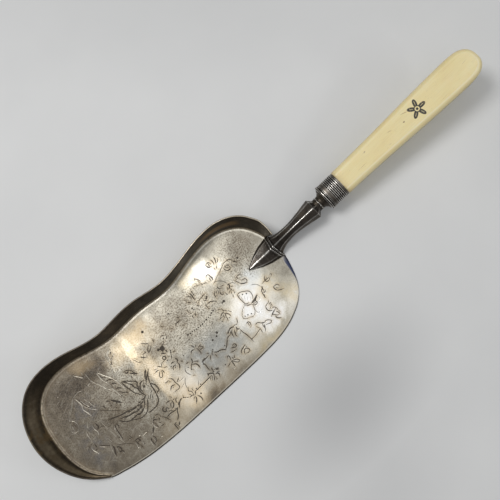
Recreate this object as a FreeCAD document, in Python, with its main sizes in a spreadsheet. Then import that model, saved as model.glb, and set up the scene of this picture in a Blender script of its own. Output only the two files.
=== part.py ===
import FreeCAD, Part
import Sketcher
import math
import os

# Crumb scoop: a flat engraved sheet with a bent rim strip soldered along its back and toe,
# a cast stem soldered on the heel, and a bone handle in a reeded ferrule.
#
# Design frame while modelling: X runs along the handle in plan, away from the pan, Y to the
# left, Z up, with the tip of the stem's foot at X = Y = 0 and the table at Z = 0.
# Every sub-part is then placed by shift_x and shift_y, so that the row's origin is the
# middle of the whole scoop's footprint on the table.

V = FreeCAD.Vector
doc = FreeCAD.newDocument("CrumbScoop")
sheet = doc.addObject("Spreadsheet::Sheet", "Sizes")
value = {}


def cell(alias, number):
    row = len(value) + 1
    sheet.set("A%d" % row, alias)
    sheet.set("B%d" % row, repr(float(number)))
    sheet.setAlias("B%d" % row, alias)
    value[alias] = float(number)
    return float(number)


# ---------------------------------------------------------------- driving dimensions, mm
cell("shift_x", -8.565)
cell("shift_y", 1.978)

cell("plate_thickness", 1.0)
cell("plate_ledge", 1.35)          # from the rim's inner foot out to the sheet's edge
cell("edge_round", 0.28)           # worn rounding of the sheet's top edge

cell("rim_thickness", 1.0)
cell("rim_end_lean", 14.5)         # degrees off upright, along the strip

cell("tilt_handle", 7.0)           # rise of the ferrule and handle, degrees
cell("neck_end_x", 58.0)           # flange face of the stem, on the handle's axis
cell("neck_end_z", 11.5)

cell("tang_len", 50.0)
cell("tang_root_w", 4.4)
cell("tang_root_t", 3.4)
cell("tang_tip_w", 3.0)
cell("tang_tip_t", 2.4)

cell("ferrule_len", 12.3)
cell("ferrule_in_a", 6.95)         # half axes of the ferrule's oval bore
cell("ferrule_in_b", 4.9)
cell("ferrule_end", 0.8)           # thickness of the turned-in end
cell("spigot_gap", 0.05)

cell("handle_pad", 12.6)
cell("handle_t_near", 5.4)         # half thickness at the ferrule
cell("handle_t_far", 6.0)          # half thickness at the butt
cell("handle_end_x", 113.4)
cell("handle_edge_r", 3.7)
cell("bore_r", 3.1)
cell("bore_len", 52.0)

# Rim stations, along the inner foot of the strip from the heel round the back and the toe:
# foot point, direction the strip faces outward (degrees), height over the sheet, and how
# far its top outer edge stands out past the inner foot. The strip's first end is cut
# slanting, so that it leans over the stem's heel by rim_end_lean.
RIM = [
    (19.55, 7.90, 14.0, 15.5, 2.30),
    (18.35, 11.55, 19.0, 15.0, 4.75),
    (16.00, 16.80, 27.5, 15.0, 5.20),
    (13.20, 20.77, 42.1, 15.0, 5.30),
    (8.02, 25.07, 58.0, 15.0, 4.90),
    (1.50, 28.03, 72.8, 15.0, 4.00),
    (-6.12, 29.39, 86.3, 15.0, 3.05),
    (-15.52, 29.06, 96.7, 15.0, 2.40),
    (-29.23, 26.56, 101.6, 15.0, 2.45),
    (-41.35, 24.42, 95.3, 15.0, 3.50),
    (-49.60, 24.50, 86.0, 15.0, 4.30),
    (-59.39, 25.72, 85.3, 15.0, 4.80),
    (-71.68, 26.02, 91.6, 15.0, 4.80),
    (-84.00, 25.60, 89.0, 15.0, 4.60),
    (-94.80, 26.95, 78.4, 15.0, 4.50),
    (-106.20, 30.02, 77.4, 15.0, 4.65),
    (-116.88, 31.80, 86.7, 15.0, 5.15),
    (-125.14, 31.60, 97.6, 15.0, 5.50),
    (-132.02, 29.86, 112.6, 15.0, 5.65),
    (-137.74, 26.41, 129.0, 15.0, 5.60),
    (-142.47, 21.38, 145.2, 15.0, 5.45),
    (-145.60, 15.30, 160.8, 15.0, 5.40),
    (-147.70, 5.91, 172.8, 14.9, 5.45),
    (-148.43, -4.62, 180.6, 13.5, 4.55),
    (-147.50, -13.60, 191.6, 10.8, 3.40),
    (-145.18, -21.05, 204.6, 7.6, 2.45),
    (-141.45, -27.14, 218.6, 4.6, 1.55),
    (-136.34, -32.10, 233.2, 2.1, 0.95),
]
for i, (x, y, a, hgt, flr) in enumerate(RIM):
    cell("rim_high_%02d" % i, hgt)
    cell("rim_out_%02d" % i, flr)

# Free edge of the sheet, from the wall's far end along the lip and round the heel.
LIP = [
    (-130.6, -35.35), (-125.2, -36.75), (-118.8, -38.05), (-112.0, -39.15), (-104.5, -39.95),
    (-97.0, -40.45), (-88.0, -40.85), (-78.0, -41.05), (-66.0, -41.15), (-54.0, -41.20),
    (-42.0, -41.20), (-31.0, -41.10), (-22.0, -40.80), (-14.0, -40.15), (-8.0, -39.15),
    (-2.8, -37.75), (2.0, -35.85), (6.7, -33.40), (10.9, -29.95), (14.6, -25.40),
    (17.4, -19.80), (19.5, -13.40), (20.9, -7.40),
]
HEEL = (21.6, 0.0)

# Planes of the stem's sections: where each crosses the underside on the middle plane
# (X, Z), and how far it leans back toward the pan, in degrees.
PLANES = {
    "tip": (-0.35, 1.0, 0.0), "kink": (6.90, 1.0, 6.5), "mid": (12.50, 1.0, 21.8),
    "step_a": (19.30, 1.0, 36.0), "step_b": (20.00, 1.0, 31.0), "step_c": (20.40, 1.0, 27.5),
    "heel": (21.05, 1.0, 21.0),
    "waist_a": (24.80, 2.05, 20.4), "waist_b": (29.00, 4.30, 22.0), "waist_c": (33.50, 5.90, 17.8),
    "waist_d": (38.30, 6.45, 11.3), "swell": (44.10, 6.25, 7.7), "crown": (50.20, 5.65, 7.0),
    "shoulder": (52.10, 7.20, 7.0),
}
# Half of each outline in its plane: ridge height, then (half width, height) of the upper
# corner, the side corner and the lower corner.
STEM = {
    "foot_tip": ("tip", 0.45, (0.35, 0.36), (0.55, 0.20), (0.55, 0.0)),
    "foot_kink": ("kink", 1.76, (3.45, 0.90), (4.40, 0.35), (4.40, 0.0)),
    "foot_mid": ("mid", 3.23, (5.00, 1.45), (6.35, 0.45), (6.35, 0.0)),
    "foot_end": ("step_a", 5.44, (5.95, 2.45), (7.55, 0.75), (7.55, 0.0)),
    "band_a0": ("step_a", 5.80, (6.15, 2.70), (7.75, 0.90), (7.75, 0.0)),
    "band_a1": ("step_b", 5.95, (6.10, 2.90), (7.70, 1.00), (7.65, 0.0)),
    "groove_0": ("step_b", 5.42, (5.65, 2.60), (7.30, 0.90), (7.25, 0.0)),
    "groove_1": ("step_c", 5.52, (5.60, 2.75), (7.25, 1.00), (7.15, 0.0)),
    "band_b0": ("step_c", 6.00, (5.85, 3.05), (7.55, 1.15), (7.45, 0.0)),
    "band_b1": ("heel", 6.25, (5.75, 3.35), (7.35, 1.30), (7.20, 0.0)),
    "shank_0": ("heel", 5.98, (4.55, 4.15), (6.40, 1.90), (4.90, 0.0)),
    "shank_1": ("waist_a", 6.88, (3.35, 5.35), (4.90, 2.95), (3.45, 0.95)),
    "shank_2": ("waist_b", 6.68, (2.88, 5.45), (4.15, 3.25), (2.88, 1.15)),
    "shank_3": ("waist_c", 6.88, (2.74, 5.65), (3.95, 3.45), (2.74, 1.20)),
    "shank_4": ("waist_d", 7.70, (3.05, 6.25), (4.40, 3.85), (3.05, 1.35)),
    "shank_5": ("swell", 8.98, (3.68, 7.25), (5.30, 4.45), (3.68, 1.60)),
    "shank_6": ("crown", 10.33, (4.45, 8.25), (6.40, 5.15), (4.45, 2.05)),
    "shoulder": ("shoulder", 7.10, (2.85, 5.95), (4.00, 3.55), (2.85, 1.10)),
}
for key, (plane, tall, upper, side, low) in STEM.items():
    cell(key + "_ridge", tall)
    for word, corner in (("up", upper), ("side", side), ("low", low)):
        cell(key + "_%s_wide" % word, corner[0])
        cell(key + "_%s_high" % word, corner[1])

# Round neck between the shoulder and the flange, in the handle's frame: distance before the
# flange face, half width, half height.
NECK = [
    (-6.90, 3.55, 3.15), (-5.60, 3.80, 3.40), (-4.60, 3.80, 3.40), (-4.10, 4.10, 3.68), (-3.60, 3.80, 3.40),
    (-2.40, 4.05, 3.55), (-1.40, 4.95, 4.00), (-0.70, 6.20, 4.65), (0.0, 7.10, 5.15),
]
for i, (d, a, b) in enumerate(NECK):
    cell("neck_at_%d" % i, d)
    cell("neck_a_%d" % i, a)
    cell("neck_b_%d" % i, b)

# Handle outline in its own plane, from the ferrule round the butt and back: the butt is a
# little fuller on its right side.
HANDLE = [
    (12.3, 7.62), (28.0, 7.85), (44.0, 8.25), (60.0, 8.85), (76.0, 9.38), (90.0, 9.68),
    (98.0, 9.72), (103.2, 9.45), (107.4, 8.45), (110.55, 6.35), (112.4, 3.40),
    (113.0, 0.0), (112.75, -3.50), (110.95, -6.50), (107.7, -8.55), (103.4, -9.52),
    (98.0, -9.75), (90.0, -9.68), (76.0, -9.38), (60.0, -8.85), (44.0, -8.25),
    (28.0, -7.85), (12.3, -7.62),
]

# Ferrule section along the handle's axis: distance from its lower end, stand-out from the
# oval bore. Two beads, a plain band, eight reeds and a plain border.
BEADS = [(0.0, 1.3, 0.55, 0.98), (1.5, 2.15, 0.52, 0.76)]
REEDS = 8
cell("reed_from", 4.75)
cell("reed_pitch", 0.78)
cell("reed_low", 0.46)
cell("reed_high", 0.74)
cell("band_out", 0.56)
cell("border_out", 0.52)
cell("end_turn_in", 2.3)

doc.recompute()


def flat(u, v):
    return V(u, v, 0)


def frame(origin, x_axis, y_axis):
    z_axis = x_axis.cross(y_axis)
    m = FreeCAD.Matrix(x_axis.x, y_axis.x, z_axis.x, origin.x,
                       x_axis.y, y_axis.y, z_axis.y, origin.y,
                       x_axis.z, y_axis.z, z_axis.z, origin.z,
                       0, 0, 0, 1)
    return FreeCAD.Placement(m)


def new_body(name):
    body = doc.addObject("PartDesign::Body", name)
    body.Label = name
    return body


def new_sketch(body, name, placement=None):
    sk = body.newObject("Sketcher::SketchObject", name)
    sk.MapMode = "Deactivated"
    if placement is not None:
        sk.Placement = placement
    return sk


def pin_point(sk, geo, pos, u, v, u_expr=None, v_expr=None):
    # fixes one point of a sketch from its origin, with each distance bound to the sheet
    if abs(u) < 1e-9:
        sk.addConstraint(Sketcher.Constraint("PointOnObject", geo, pos, -2))
    else:
        n = sk.addConstraint(Sketcher.Constraint("DistanceX", -1, 1, geo, pos, u))
        if u_expr:
            sk.setExpression("Constraints[%d]" % n, u_expr)
    if abs(v) < 1e-9:
        sk.addConstraint(Sketcher.Constraint("PointOnObject", geo, pos, -1))
    else:
        n = sk.addConstraint(Sketcher.Constraint("DistanceY", -1, 1, geo, pos, v))
        if v_expr:
            sk.setExpression("Constraints[%d]" % n, v_expr)


def polygon(sk, pts):
    # pts: (u, v, u expression or None, v expression or None)
    n = len(pts)
    for i in range(n):
        a, b = pts[i], pts[(i + 1) % n]
        sk.addGeometry(Part.LineSegment(flat(a[0], a[1]), flat(b[0], b[1])), False)
    for i in range(n):
        sk.addConstraint(Sketcher.Constraint("Coincident", i, 2, (i + 1) % n, 1))
    for i, (u, v, ue, ve) in enumerate(pts):
        pin_point(sk, i, 1, u, v, ue, ve)


def loft(body, name, sketches, ruled):
    f = body.newObject("PartDesign::AdditiveLoft", name)
    f.Profile = sketches[0]
    f.Sections = sketches[1:]
    f.Ruled = ruled
    f.Closed = False
    body.Tip = f
    doc.recompute()
    return f


def pad(body, name, sketch, length_expr, midplane=False):
    f = body.newObject("PartDesign::Pad", name)
    f.Profile = sketch
    f.Length = 1.0
    f.setExpression("Length", length_expr)
    if midplane:
        f.SideType = "Symmetric"
    body.Tip = f
    doc.recompute()
    return f


# ---------------------------------------------------------------- pan_plate
plate = new_body("pan_plate")
sk = new_sketch(plate, "PlateOutline")
back = []
for (x, y, a, hgt, flr) in RIM:
    r = math.radians(a)
    back.append((x + value["plate_ledge"] * math.cos(r), y + value["plate_ledge"] * math.sin(r)))
outline = Part.BSplineCurve()
outline.interpolate(Points=[flat(*HEEL)] + [flat(*p) for p in back] + [flat(*p) for p in LIP], PeriodicFlag=True)
sk.addGeometry(outline, False)
sk.addConstraint(Sketcher.Constraint("Block", 0))
f_plate = pad(plate, "Sheet", sk, "Sizes.plate_thickness")
top_edges = []
for n, e in enumerate(f_plate.Shape.Edges, 1):
    if e.BoundBox.ZMin > value["plate_thickness"] - 1e-6:
        top_edges.append("Edge%d" % n)
softened = plate.newObject("PartDesign::Fillet", "SoftenedEdge")
softened.Base = (f_plate, top_edges)
softened.Radius = 0.2
softened.setExpression("Radius", "Sizes.edge_round")
plate.Tip = softened
doc.recompute()

# ---------------------------------------------------------------- rim_wall
wall = new_body("rim_wall")
t = value["rim_thickness"]
sections = []
for i, (x, y, a, hgt, flr) in enumerate(RIM):
    r = math.radians(a)
    out = V(math.cos(r), math.sin(r), 0)
    rise = V(0, 0, 1)
    if i == 0:
        q = math.radians(value["rim_end_lean"])
        rise = V(out.y * math.sin(q), -out.x * math.sin(q), math.cos(q))
    s = new_sketch(wall, "RimSection%02d" % i,
                   frame(V(x, y, value["plate_thickness"]), out, rise))
    # centre of the rounded top edge, and the strip's lean through it
    cu, cv = flr - t / 2, hgt - t / 2
    lean = math.atan2(cu - t / 2, cv)
    for _ in range(20):
        lean = math.atan2(cu - t / (2 * math.cos(lean)), cv)
    m = (math.cos(lean), -math.sin(lean))
    inner = (cu - m[0] * t / 2, cv - m[1] * t / 2)
    outer = (cu + m[0] * t / 2, cv + m[1] * t / 2)
    foot = t / math.cos(lean)
    s.addGeometry(Part.LineSegment(flat(0, 0), flat(*inner)), False)
    ang_in = math.atan2(-m[1], -m[0])
    ang_out = math.atan2(m[1], m[0])
    if ang_in < ang_out:
        ang_in += 2 * math.pi
    s.addGeometry(Part.ArcOfCircle(Part.Circle(flat(cu, cv), V(0, 0, 1), t / 2), ang_out, ang_in), False)
    s.addGeometry(Part.LineSegment(flat(*outer), flat(foot, 0)), False)
    s.addGeometry(Part.LineSegment(flat(foot, 0), flat(0, 0)), False)
    s.addConstraint(Sketcher.Constraint("Coincident", 0, 1, -1, 1))
    s.addConstraint(Sketcher.Constraint("Coincident", 3, 2, 0, 1))
    s.addConstraint(Sketcher.Constraint("Coincident", 2, 2, 3, 1))
    s.addConstraint(Sketcher.Constraint("Horizontal", 3))
    s.addConstraint(Sketcher.Constraint("Tangent", 0, 2, 1, 2))
    s.addConstraint(Sketcher.Constraint("Tangent", 2, 1, 1, 1))
    n = s.addConstraint(Sketcher.Constraint("Radius", 1, t / 2))
    s.setExpression("Constraints[%d]" % n, "Sizes.rim_thickness / 2")
    n = s.addConstraint(Sketcher.Constraint("DistanceX", -1, 1, 1, 3, cu))
    s.setExpression("Constraints[%d]" % n, "Sizes.rim_out_%02d - Sizes.rim_thickness / 2" % i)
    n = s.addConstraint(Sketcher.Constraint("DistanceY", -1, 1, 1, 3, cv))
    s.setExpression("Constraints[%d]" % n, "Sizes.rim_high_%02d - Sizes.rim_thickness / 2" % i)
    s.addConstraint(Sketcher.Constraint("Parallel", 0, 2))
    sections.append(s)
doc.recompute()
loft(wall, "Strip", sections, False)

# ---------------------------------------------------------------- stem
stem = new_body("stem")


def stem_section(key, name=None, keel=True):
    plane, tall, upper, side, low = STEM[key]
    bx, bz, lean = PLANES[plane]
    r = math.radians(lean)
    s = new_sketch(stem, name or key,
                   frame(V(bx, 0, bz), V(0, 1, 0), V(-math.sin(r), 0, math.cos(r))))
    k = "Sizes.%s_" % key
    right = [(w, h, k + word + "_wide", k + word + "_high")
             for word, (w, h) in (("up", upper), ("side", side), ("low", low))]
    left = [(-w, h, "-" + we, he) for w, h, we, he in right[::-1]]
    pts = [(0.0, tall, None, k + "ridge")] + right
    if keel:
        pts.append((0.0, 0.0, None, None))
    polygon(s, pts + left)
    return s


def stem_loft(name, keys, ruled, keel, prefix=""):
    parts = [stem_section(k, prefix + k if prefix else None, keel) for k in keys]
    doc.recompute()
    return loft(stem, name, parts, ruled)


stem_loft("Foot", ["foot_tip", "foot_kink", "foot_mid", "foot_end"], True, False)
stem_loft("CollarBandA", ["band_a0", "band_a1"], True, False)
stem_loft("CollarGroove", ["groove_0", "groove_1"], True, False)
stem_loft("CollarBandB", ["band_b0", "band_b1"], True, False)
stem_loft("Shank", ["shank_%d" % i for i in range(7)], False, True)
stem_loft("Shoulder", ["shank_6", "shoulder"], True, True, "step_")

rt = math.radians(value["tilt_handle"])
axis = V(math.cos(rt), 0, math.sin(rt))
upward = V(-math.sin(rt), 0, math.cos(rt))
seat = V(value["neck_end_x"], 0, value["neck_end_z"])
rings = []
for i, (d, a, b) in enumerate(NECK):
    s = new_sketch(stem, "NeckRing%d" % i, frame(seat + axis * d, V(0, 1, 0), upward))
    s.addGeometry(Part.Ellipse(flat(a, 0), flat(0, b), flat(0, 0)), False)
    s.addConstraint(Sketcher.Constraint("Coincident", 0, 3, -1, 1))
    # axes of the oval, shown as construction lines so that their lengths can be bound
    s.addGeometry(Part.LineSegment(flat(-a, 0), flat(a, 0)), True)
    s.addGeometry(Part.LineSegment(flat(0, -b), flat(0, b)), True)
    s.addConstraint(Sketcher.Constraint("InternalAlignment:EllipseMajorDiameter", 1, 0))
    s.addConstraint(Sketcher.Constraint("InternalAlignment:EllipseMinorDiameter", 2, 0))
    s.addConstraint(Sketcher.Constraint("Horizontal", 1))
    n = s.addConstraint(Sketcher.Constraint("Distance", 1, 2 * a))
    s.setExpression("Constraints[%d]" % n, "2 * Sizes.neck_a_%d" % i)
    n = s.addConstraint(Sketcher.Constraint("Distance", 2, 2 * b))
    s.setExpression("Constraints[%d]" % n, "2 * Sizes.neck_b_%d" % i)
    rings.append(s)
doc.recompute()
loft(stem, "Neck", rings, False)

tang = []
for name, d, key in (("TangRoot", -0.5, "tang_root"), ("TangTip", value["tang_len"], "tang_tip")):
    s = new_sketch(stem, name, frame(seat + axis * d, V(0, 1, 0), upward))
    w, h2 = value[key + "_w"] / 2, value[key + "_t"] / 2
    ew, eh = "Sizes.%s_w / 2" % key, "Sizes.%s_t / 2" % key
    polygon(s, [(w, h2, ew, eh), (-w, h2, "-" + ew, eh), (-w, -h2, "-" + ew, "-" + eh), (w, -h2, ew, "-" + eh)])
    tang.append(s)
doc.recompute()
loft(stem, "Tang", tang, True)

# everything below the sheet's top is trimmed away, so that the foot sits flat on it
s = new_sketch(stem, "UnderTrim", frame(V(0, 0, value["plate_thickness"]), V(1, 0, 0), V(0, 1, 0)))
polygon(s, [(-5.0, -12.0, None, None), (40.0, -12.0, None, None), (40.0, 12.0, None, None), (-5.0, 12.0, None, None)])
trim = stem.newObject("PartDesign::Pocket", "UnderCut")
trim.Profile = s
trim.Length = 10.0
whole = stem.Shape.Volume
stem.Tip = trim
doc.recompute()
if trim.Shape.Volume < 0.9 * whole:
    trim.Reversed = True
    doc.recompute()
if trim.Shape.Volume < 0.9 * whole:
    raise RuntimeError("the trim under the foot cut too much")

# ---------------------------------------------------------------- handle frame bodies
def in_handle_frame(body):
    body.Placement = FreeCAD.Placement(seat, FreeCAD.Rotation(V(0, 1, 0), -value["tilt_handle"]))


# ---------------------------------------------------------------- ferrule
ferrule = new_body("ferrule")
in_handle_frame(ferrule)
path = new_sketch(ferrule, "BoreOval", frame(V(0, 0, 0), V(0, 1, 0), V(0, 0, 1)))
fa, fb = value["ferrule_in_a"], value["ferrule_in_b"]
path.addGeometry(Part.Ellipse(flat(fa, 0), flat(0, fb), flat(0, 0)), False)
path.addConstraint(Sketcher.Constraint("Coincident", 0, 3, -1, 1))
path.addGeometry(Part.LineSegment(flat(-fa, 0), flat(fa, 0)), True)
path.addGeometry(Part.LineSegment(flat(0, -fb), flat(0, fb)), True)
path.addConstraint(Sketcher.Constraint("InternalAlignment:EllipseMajorDiameter", 1, 0))
path.addConstraint(Sketcher.Constraint("InternalAlignment:EllipseMinorDiameter", 2, 0))
path.addConstraint(Sketcher.Constraint("Horizontal", 1))
n = path.addConstraint(Sketcher.Constraint("Distance", 1, 2 * fa))
path.setExpression("Constraints[%d]" % n, "2 * Sizes.ferrule_in_a")
n = path.addConstraint(Sketcher.Constraint("Distance", 2, 2 * fb))
path.setExpression("Constraints[%d]" % n, "2 * Sizes.ferrule_in_b")

# section of the band: u along the handle's axis, v outward, at the oval's left end
prof = new_sketch(ferrule, "BandSection", frame(V(0, fa, 0), V(1, 0, 0), V(0, 1, 0)))
pts = [("p", 0.0, -value["end_turn_in"])]
for (u0, u1, low_r, high_r) in BEADS:
    pts.append(("p", u0, low_r))
    pts.append(("a", (u0 + u1) / 2, high_r))
    pts.append(("p", u1, low_r))
pts.append(("p", 2.3, value["band_out"]))
pts.append(("p", 4.55, value["band_out"]))
u = value["reed_from"]
pts.append(("p", u, value["reed_low"]))
for k in range(REEDS):
    pts.append(("a", u + value["reed_pitch"] / 2, value["reed_high"]))
    u += value["reed_pitch"]
    pts.append(("p", u, value["reed_low"]))
pts.append(("p", u + 0.12, value["border_out"]))
pts.append(("p", value["ferrule_len"], value["border_out"]))
pts.append(("p", value["ferrule_len"], 0.0))
pts.append(("p", value["ferrule_end"], 0.0))
pts.append(("p", value["ferrule_end"], -value["end_turn_in"]))
k = 0
first = None
geo = 0
while k < len(pts):
    kind, u0, v0 = pts[k]
    nxt = pts[(k + 1) % len(pts)]
    if nxt[0] == "a":
        u2, v2 = pts[k + 2][1], pts[k + 2][2]
        prof.addGeometry(Part.Arc(flat(u0, v0), flat(nxt[1], nxt[2]), flat(u2, v2)), False)
        k += 2
    else:
        prof.addGeometry(Part.LineSegment(flat(u0, v0), flat(nxt[1], nxt[2])), False)
        k += 1
    geo += 1
for g in range(geo):
    prof.addConstraint(Sketcher.Constraint("Block", g))
doc.recompute()
sweep = ferrule.newObject("PartDesign::AdditivePipe", "Band")
sweep.Profile = prof
sweep.Spine = (path, ["Edge1"])
sweep.Mode = "Standard"
ferrule.Tip = sweep
doc.recompute()

# ---------------------------------------------------------------- handle
handle = new_body("handle")
in_handle_frame(handle)
sk = new_sketch(handle, "BarOutline")
c_bar = Part.BSplineCurve()
c_bar.interpolate(Points=[flat(*p) for p in HANDLE])
sk.addGeometry(c_bar, False)
sk.addGeometry(Part.LineSegment(flat(*HANDLE[-1]), flat(*HANDLE[0])), False)
sk.addConstraint(Sketcher.Constraint("Coincident", 0, 2, 1, 1))
sk.addConstraint(Sketcher.Constraint("Coincident", 1, 2, 0, 1))
sk.addConstraint(Sketcher.Constraint("Block", 0))
bar = pad(handle, "Bar", sk, "Sizes.handle_pad", midplane=True)

# top and bottom planed to a slight taper
sk = new_sketch(handle, "Taper", frame(V(0, 0, 0), V(1, 0, 0), V(0, 0, 1)))
x0, x1 = value["ferrule_len"] - 1.0, value["handle_end_x"] + 1.0
t0, t1, far = value["handle_t_near"], value["handle_t_far"], value["handle_pad"] / 2 + 1.0
n_geo = 0
for sign in (1, -1):
    quad = [(x0, sign * t0), (x1, sign * t1), (x1, sign * far), (x0, sign * far)]
    for i in range(4):
        a, b = quad[i], quad[(i + 1) % 4]
        sk.addGeometry(Part.LineSegment(flat(*a), flat(*b)), False)
    for i in range(4):
        sk.addConstraint(Sketcher.Constraint("Coincident", n_geo + i, 2, n_geo + (i + 1) % 4, 1))
    for i, (uu, vv) in enumerate(quad):
        neg = "" if sign > 0 else "-"
        ue = "Sizes.ferrule_len - 1" if uu == x0 else "Sizes.handle_end_x + 1"
        ve = {0: neg + "Sizes.handle_t_near", 1: neg + "Sizes.handle_t_far"}.get(i, neg + "(Sizes.handle_pad / 2 + 1)")
        pin_point(sk, n_geo + i, 1, uu, vv, ue, ve)
    n_geo += 4
planed = handle.newObject("PartDesign::Pocket", "Planed")
planed.Profile = sk
planed.Length = 40.0
planed.SideType = "Symmetric"
handle.Tip = planed
doc.recompute()
if planed.Shape.Volume > bar.Shape.Volume - 100.0:
    raise RuntimeError("the handle's taper cut nothing")

round_edges = []
for n, e in enumerate(planed.Shape.Edges, 1):
    bb = e.BoundBox
    if e.Length > 150.0 and bb.ZLength < 1.2:
        round_edges.append("Edge%d" % n)
rounding = handle.newObject("PartDesign::Fillet", "RoundedEdges")
rounding.Base = (planed, round_edges)
rounding.Radius = 3.5
rounding.setExpression("Radius", "Sizes.handle_edge_r")
handle.Tip = rounding
doc.recompute()

# reduced oval end inside the ferrule
spig_from = value["ferrule_end"] + value["spigot_gap"]
sk = new_sketch(handle, "SpigotOval", frame(V(spig_from, 0, 0), V(0, 1, 0), V(0, 0, 1)))
sa, sb = fa - value["spigot_gap"], fb - value["spigot_gap"]
sk.addGeometry(Part.Ellipse(flat(sa, 0), flat(0, sb), flat(0, 0)), False)
sk.addConstraint(Sketcher.Constraint("Coincident", 0, 3, -1, 1))
sk.addGeometry(Part.LineSegment(flat(-sa, 0), flat(sa, 0)), True)
sk.addGeometry(Part.LineSegment(flat(0, -sb), flat(0, sb)), True)
sk.addConstraint(Sketcher.Constraint("InternalAlignment:EllipseMajorDiameter", 1, 0))
sk.addConstraint(Sketcher.Constraint("InternalAlignment:EllipseMinorDiameter", 2, 0))
sk.addConstraint(Sketcher.Constraint("Horizontal", 1))
n = sk.addConstraint(Sketcher.Constraint("Distance", 1, 2 * sa))
sk.setExpression("Constraints[%d]" % n, "2 * (Sizes.ferrule_in_a - Sizes.spigot_gap)")
n = sk.addConstraint(Sketcher.Constraint("Distance", 2, 2 * sb))
sk.setExpression("Constraints[%d]" % n, "2 * (Sizes.ferrule_in_b - Sizes.spigot_gap)")
pad(handle, "Spigot", sk, "Sizes.ferrule_len - Sizes.ferrule_end - Sizes.spigot_gap + 0.5")

# blind bore for the tang
sk = new_sketch(handle, "BoreCircle", frame(V(0, 0, 0), V(0, 1, 0), V(0, 0, 1)))
sk.addGeometry(Part.Circle(flat(0, 0), V(0, 0, 1), value["bore_r"]), False)
sk.addConstraint(Sketcher.Constraint("Coincident", 0, 3, -1, 1))
n = sk.addConstraint(Sketcher.Constraint("Radius", 0, value["bore_r"]))
sk.setExpression("Constraints[%d]" % n, "Sizes.bore_r")
solid_volume = handle.Shape.Volume
drill = handle.newObject("PartDesign::Pocket", "TangBore")
drill.Profile = sk
drill.Length = 1.0
drill.setExpression("Length", "Sizes.bore_len")
handle.Tip = drill
doc.recompute()
if drill.Shape.Volume > solid_volume - 100.0:
    drill.Reversed = True
    doc.recompute()
if drill.Shape.Volume > solid_volume - 100.0:
    raise RuntimeError("the tang bore cut nothing")

# ---------------------------------------------------------------- tang_cement
cement = new_body("tang_cement")
in_handle_frame(cement)
sk = new_sketch(cement, "CementCircle", frame(V(spig_from, 0, 0), V(0, 1, 0), V(0, 0, 1)))
sk.addGeometry(Part.Circle(flat(0, 0), V(0, 0, 1), value["bore_r"]), False)
sk.addConstraint(Sketcher.Constraint("Coincident", 0, 3, -1, 1))
n = sk.addConstraint(Sketcher.Constraint("Radius", 0, value["bore_r"]))
sk.setExpression("Constraints[%d]" % n, "Sizes.bore_r")
pad(cement, "Fill", sk, "Sizes.bore_len - Sizes.ferrule_end - Sizes.spigot_gap")
hollow = []
for name, d, key in (("TangHoleRoot", -0.5, "tang_root"), ("TangHoleTip", value["tang_len"], "tang_tip")):
    s = new_sketch(cement, name, frame(V(d, 0, 0), V(0, 1, 0), V(0, 0, 1)))
    w, h2 = value[key + "_w"] / 2, value[key + "_t"] / 2
    ew, eh = "Sizes.%s_w / 2" % key, "Sizes.%s_t / 2" % key
    polygon(s, [(w, h2, ew, eh), (-w, h2, "-" + ew, eh), (-w, -h2, "-" + ew, "-" + eh), (w, -h2, ew, "-" + eh)])
    hollow.append(s)
doc.recompute()
cut = cement.newObject("PartDesign::SubtractiveLoft", "TangHole")
cut.Profile = hollow[0]
cut.Sections = hollow[1:]
cut.Ruled = True
cement.Tip = cut
doc.recompute()

# ---------------------------------------------------------------- placements in the row frame
shift = V(value["shift_x"], value["shift_y"], 0)
for body in (plate, wall, stem, ferrule, handle, cement):
    p = body.Placement
    body.Placement = FreeCAD.Placement(p.Base + shift, p.Rotation)
doc.recompute()

# ---------------------------------------------------------------- checks and output
for obj in doc.Objects:
    for word in ("Invalid", "Error"):
        if word in obj.State:
            raise RuntimeError("%s is %s" % (obj.Name, obj.State))

total = FreeCAD.BoundBox()
os.makedirs("parts", exist_ok=True)
for body in (plate, wall, stem, ferrule, handle, cement):
    shape = body.Shape
    if shape.isNull() or not shape.isValid() or len(shape.Solids) != 1:
        raise RuntimeError("%s has a bad shape: %d solids" % (body.Label, len(shape.Solids)))
    total.add(shape.BoundBox)
for body in (plate, wall, stem, ferrule, handle, cement):
    shape = body.Shape
    print("%-12s volume %9.1f mm3  faces %3d  box %s" % (body.Label, shape.Volume, len(shape.Faces), shape.BoundBox))
    shape.exportStep("parts/%s.step" % body.Label)
print("whole box", total, "centre", total.Center)
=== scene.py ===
import bmesh, bpy, math
import numpy as np
from mathutils import Matrix, Vector, kdtree
from mathutils.geometry import delaunay_2d_cdt


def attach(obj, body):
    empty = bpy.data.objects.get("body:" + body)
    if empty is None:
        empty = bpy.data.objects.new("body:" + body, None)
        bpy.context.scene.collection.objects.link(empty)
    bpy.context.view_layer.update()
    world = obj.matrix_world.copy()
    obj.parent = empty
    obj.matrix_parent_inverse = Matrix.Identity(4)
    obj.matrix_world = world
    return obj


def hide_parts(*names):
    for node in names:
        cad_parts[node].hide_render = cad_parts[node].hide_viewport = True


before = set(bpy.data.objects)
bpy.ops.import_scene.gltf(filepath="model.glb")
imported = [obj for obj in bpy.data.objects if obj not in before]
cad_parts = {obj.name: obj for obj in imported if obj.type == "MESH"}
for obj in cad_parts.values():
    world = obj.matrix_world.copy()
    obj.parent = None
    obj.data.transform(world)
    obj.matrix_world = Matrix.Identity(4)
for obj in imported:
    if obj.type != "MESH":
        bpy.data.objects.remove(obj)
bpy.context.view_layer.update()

# Crumb scoop. Lengths below are millimetres in the design frame: X along the handle in plan,
# Z up, the tip of the stem's foot at X = Y = 0. SHIFT moves them into the row frame.
SHIFT = np.array([-8.565, 1.978, 0.0])

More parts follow.
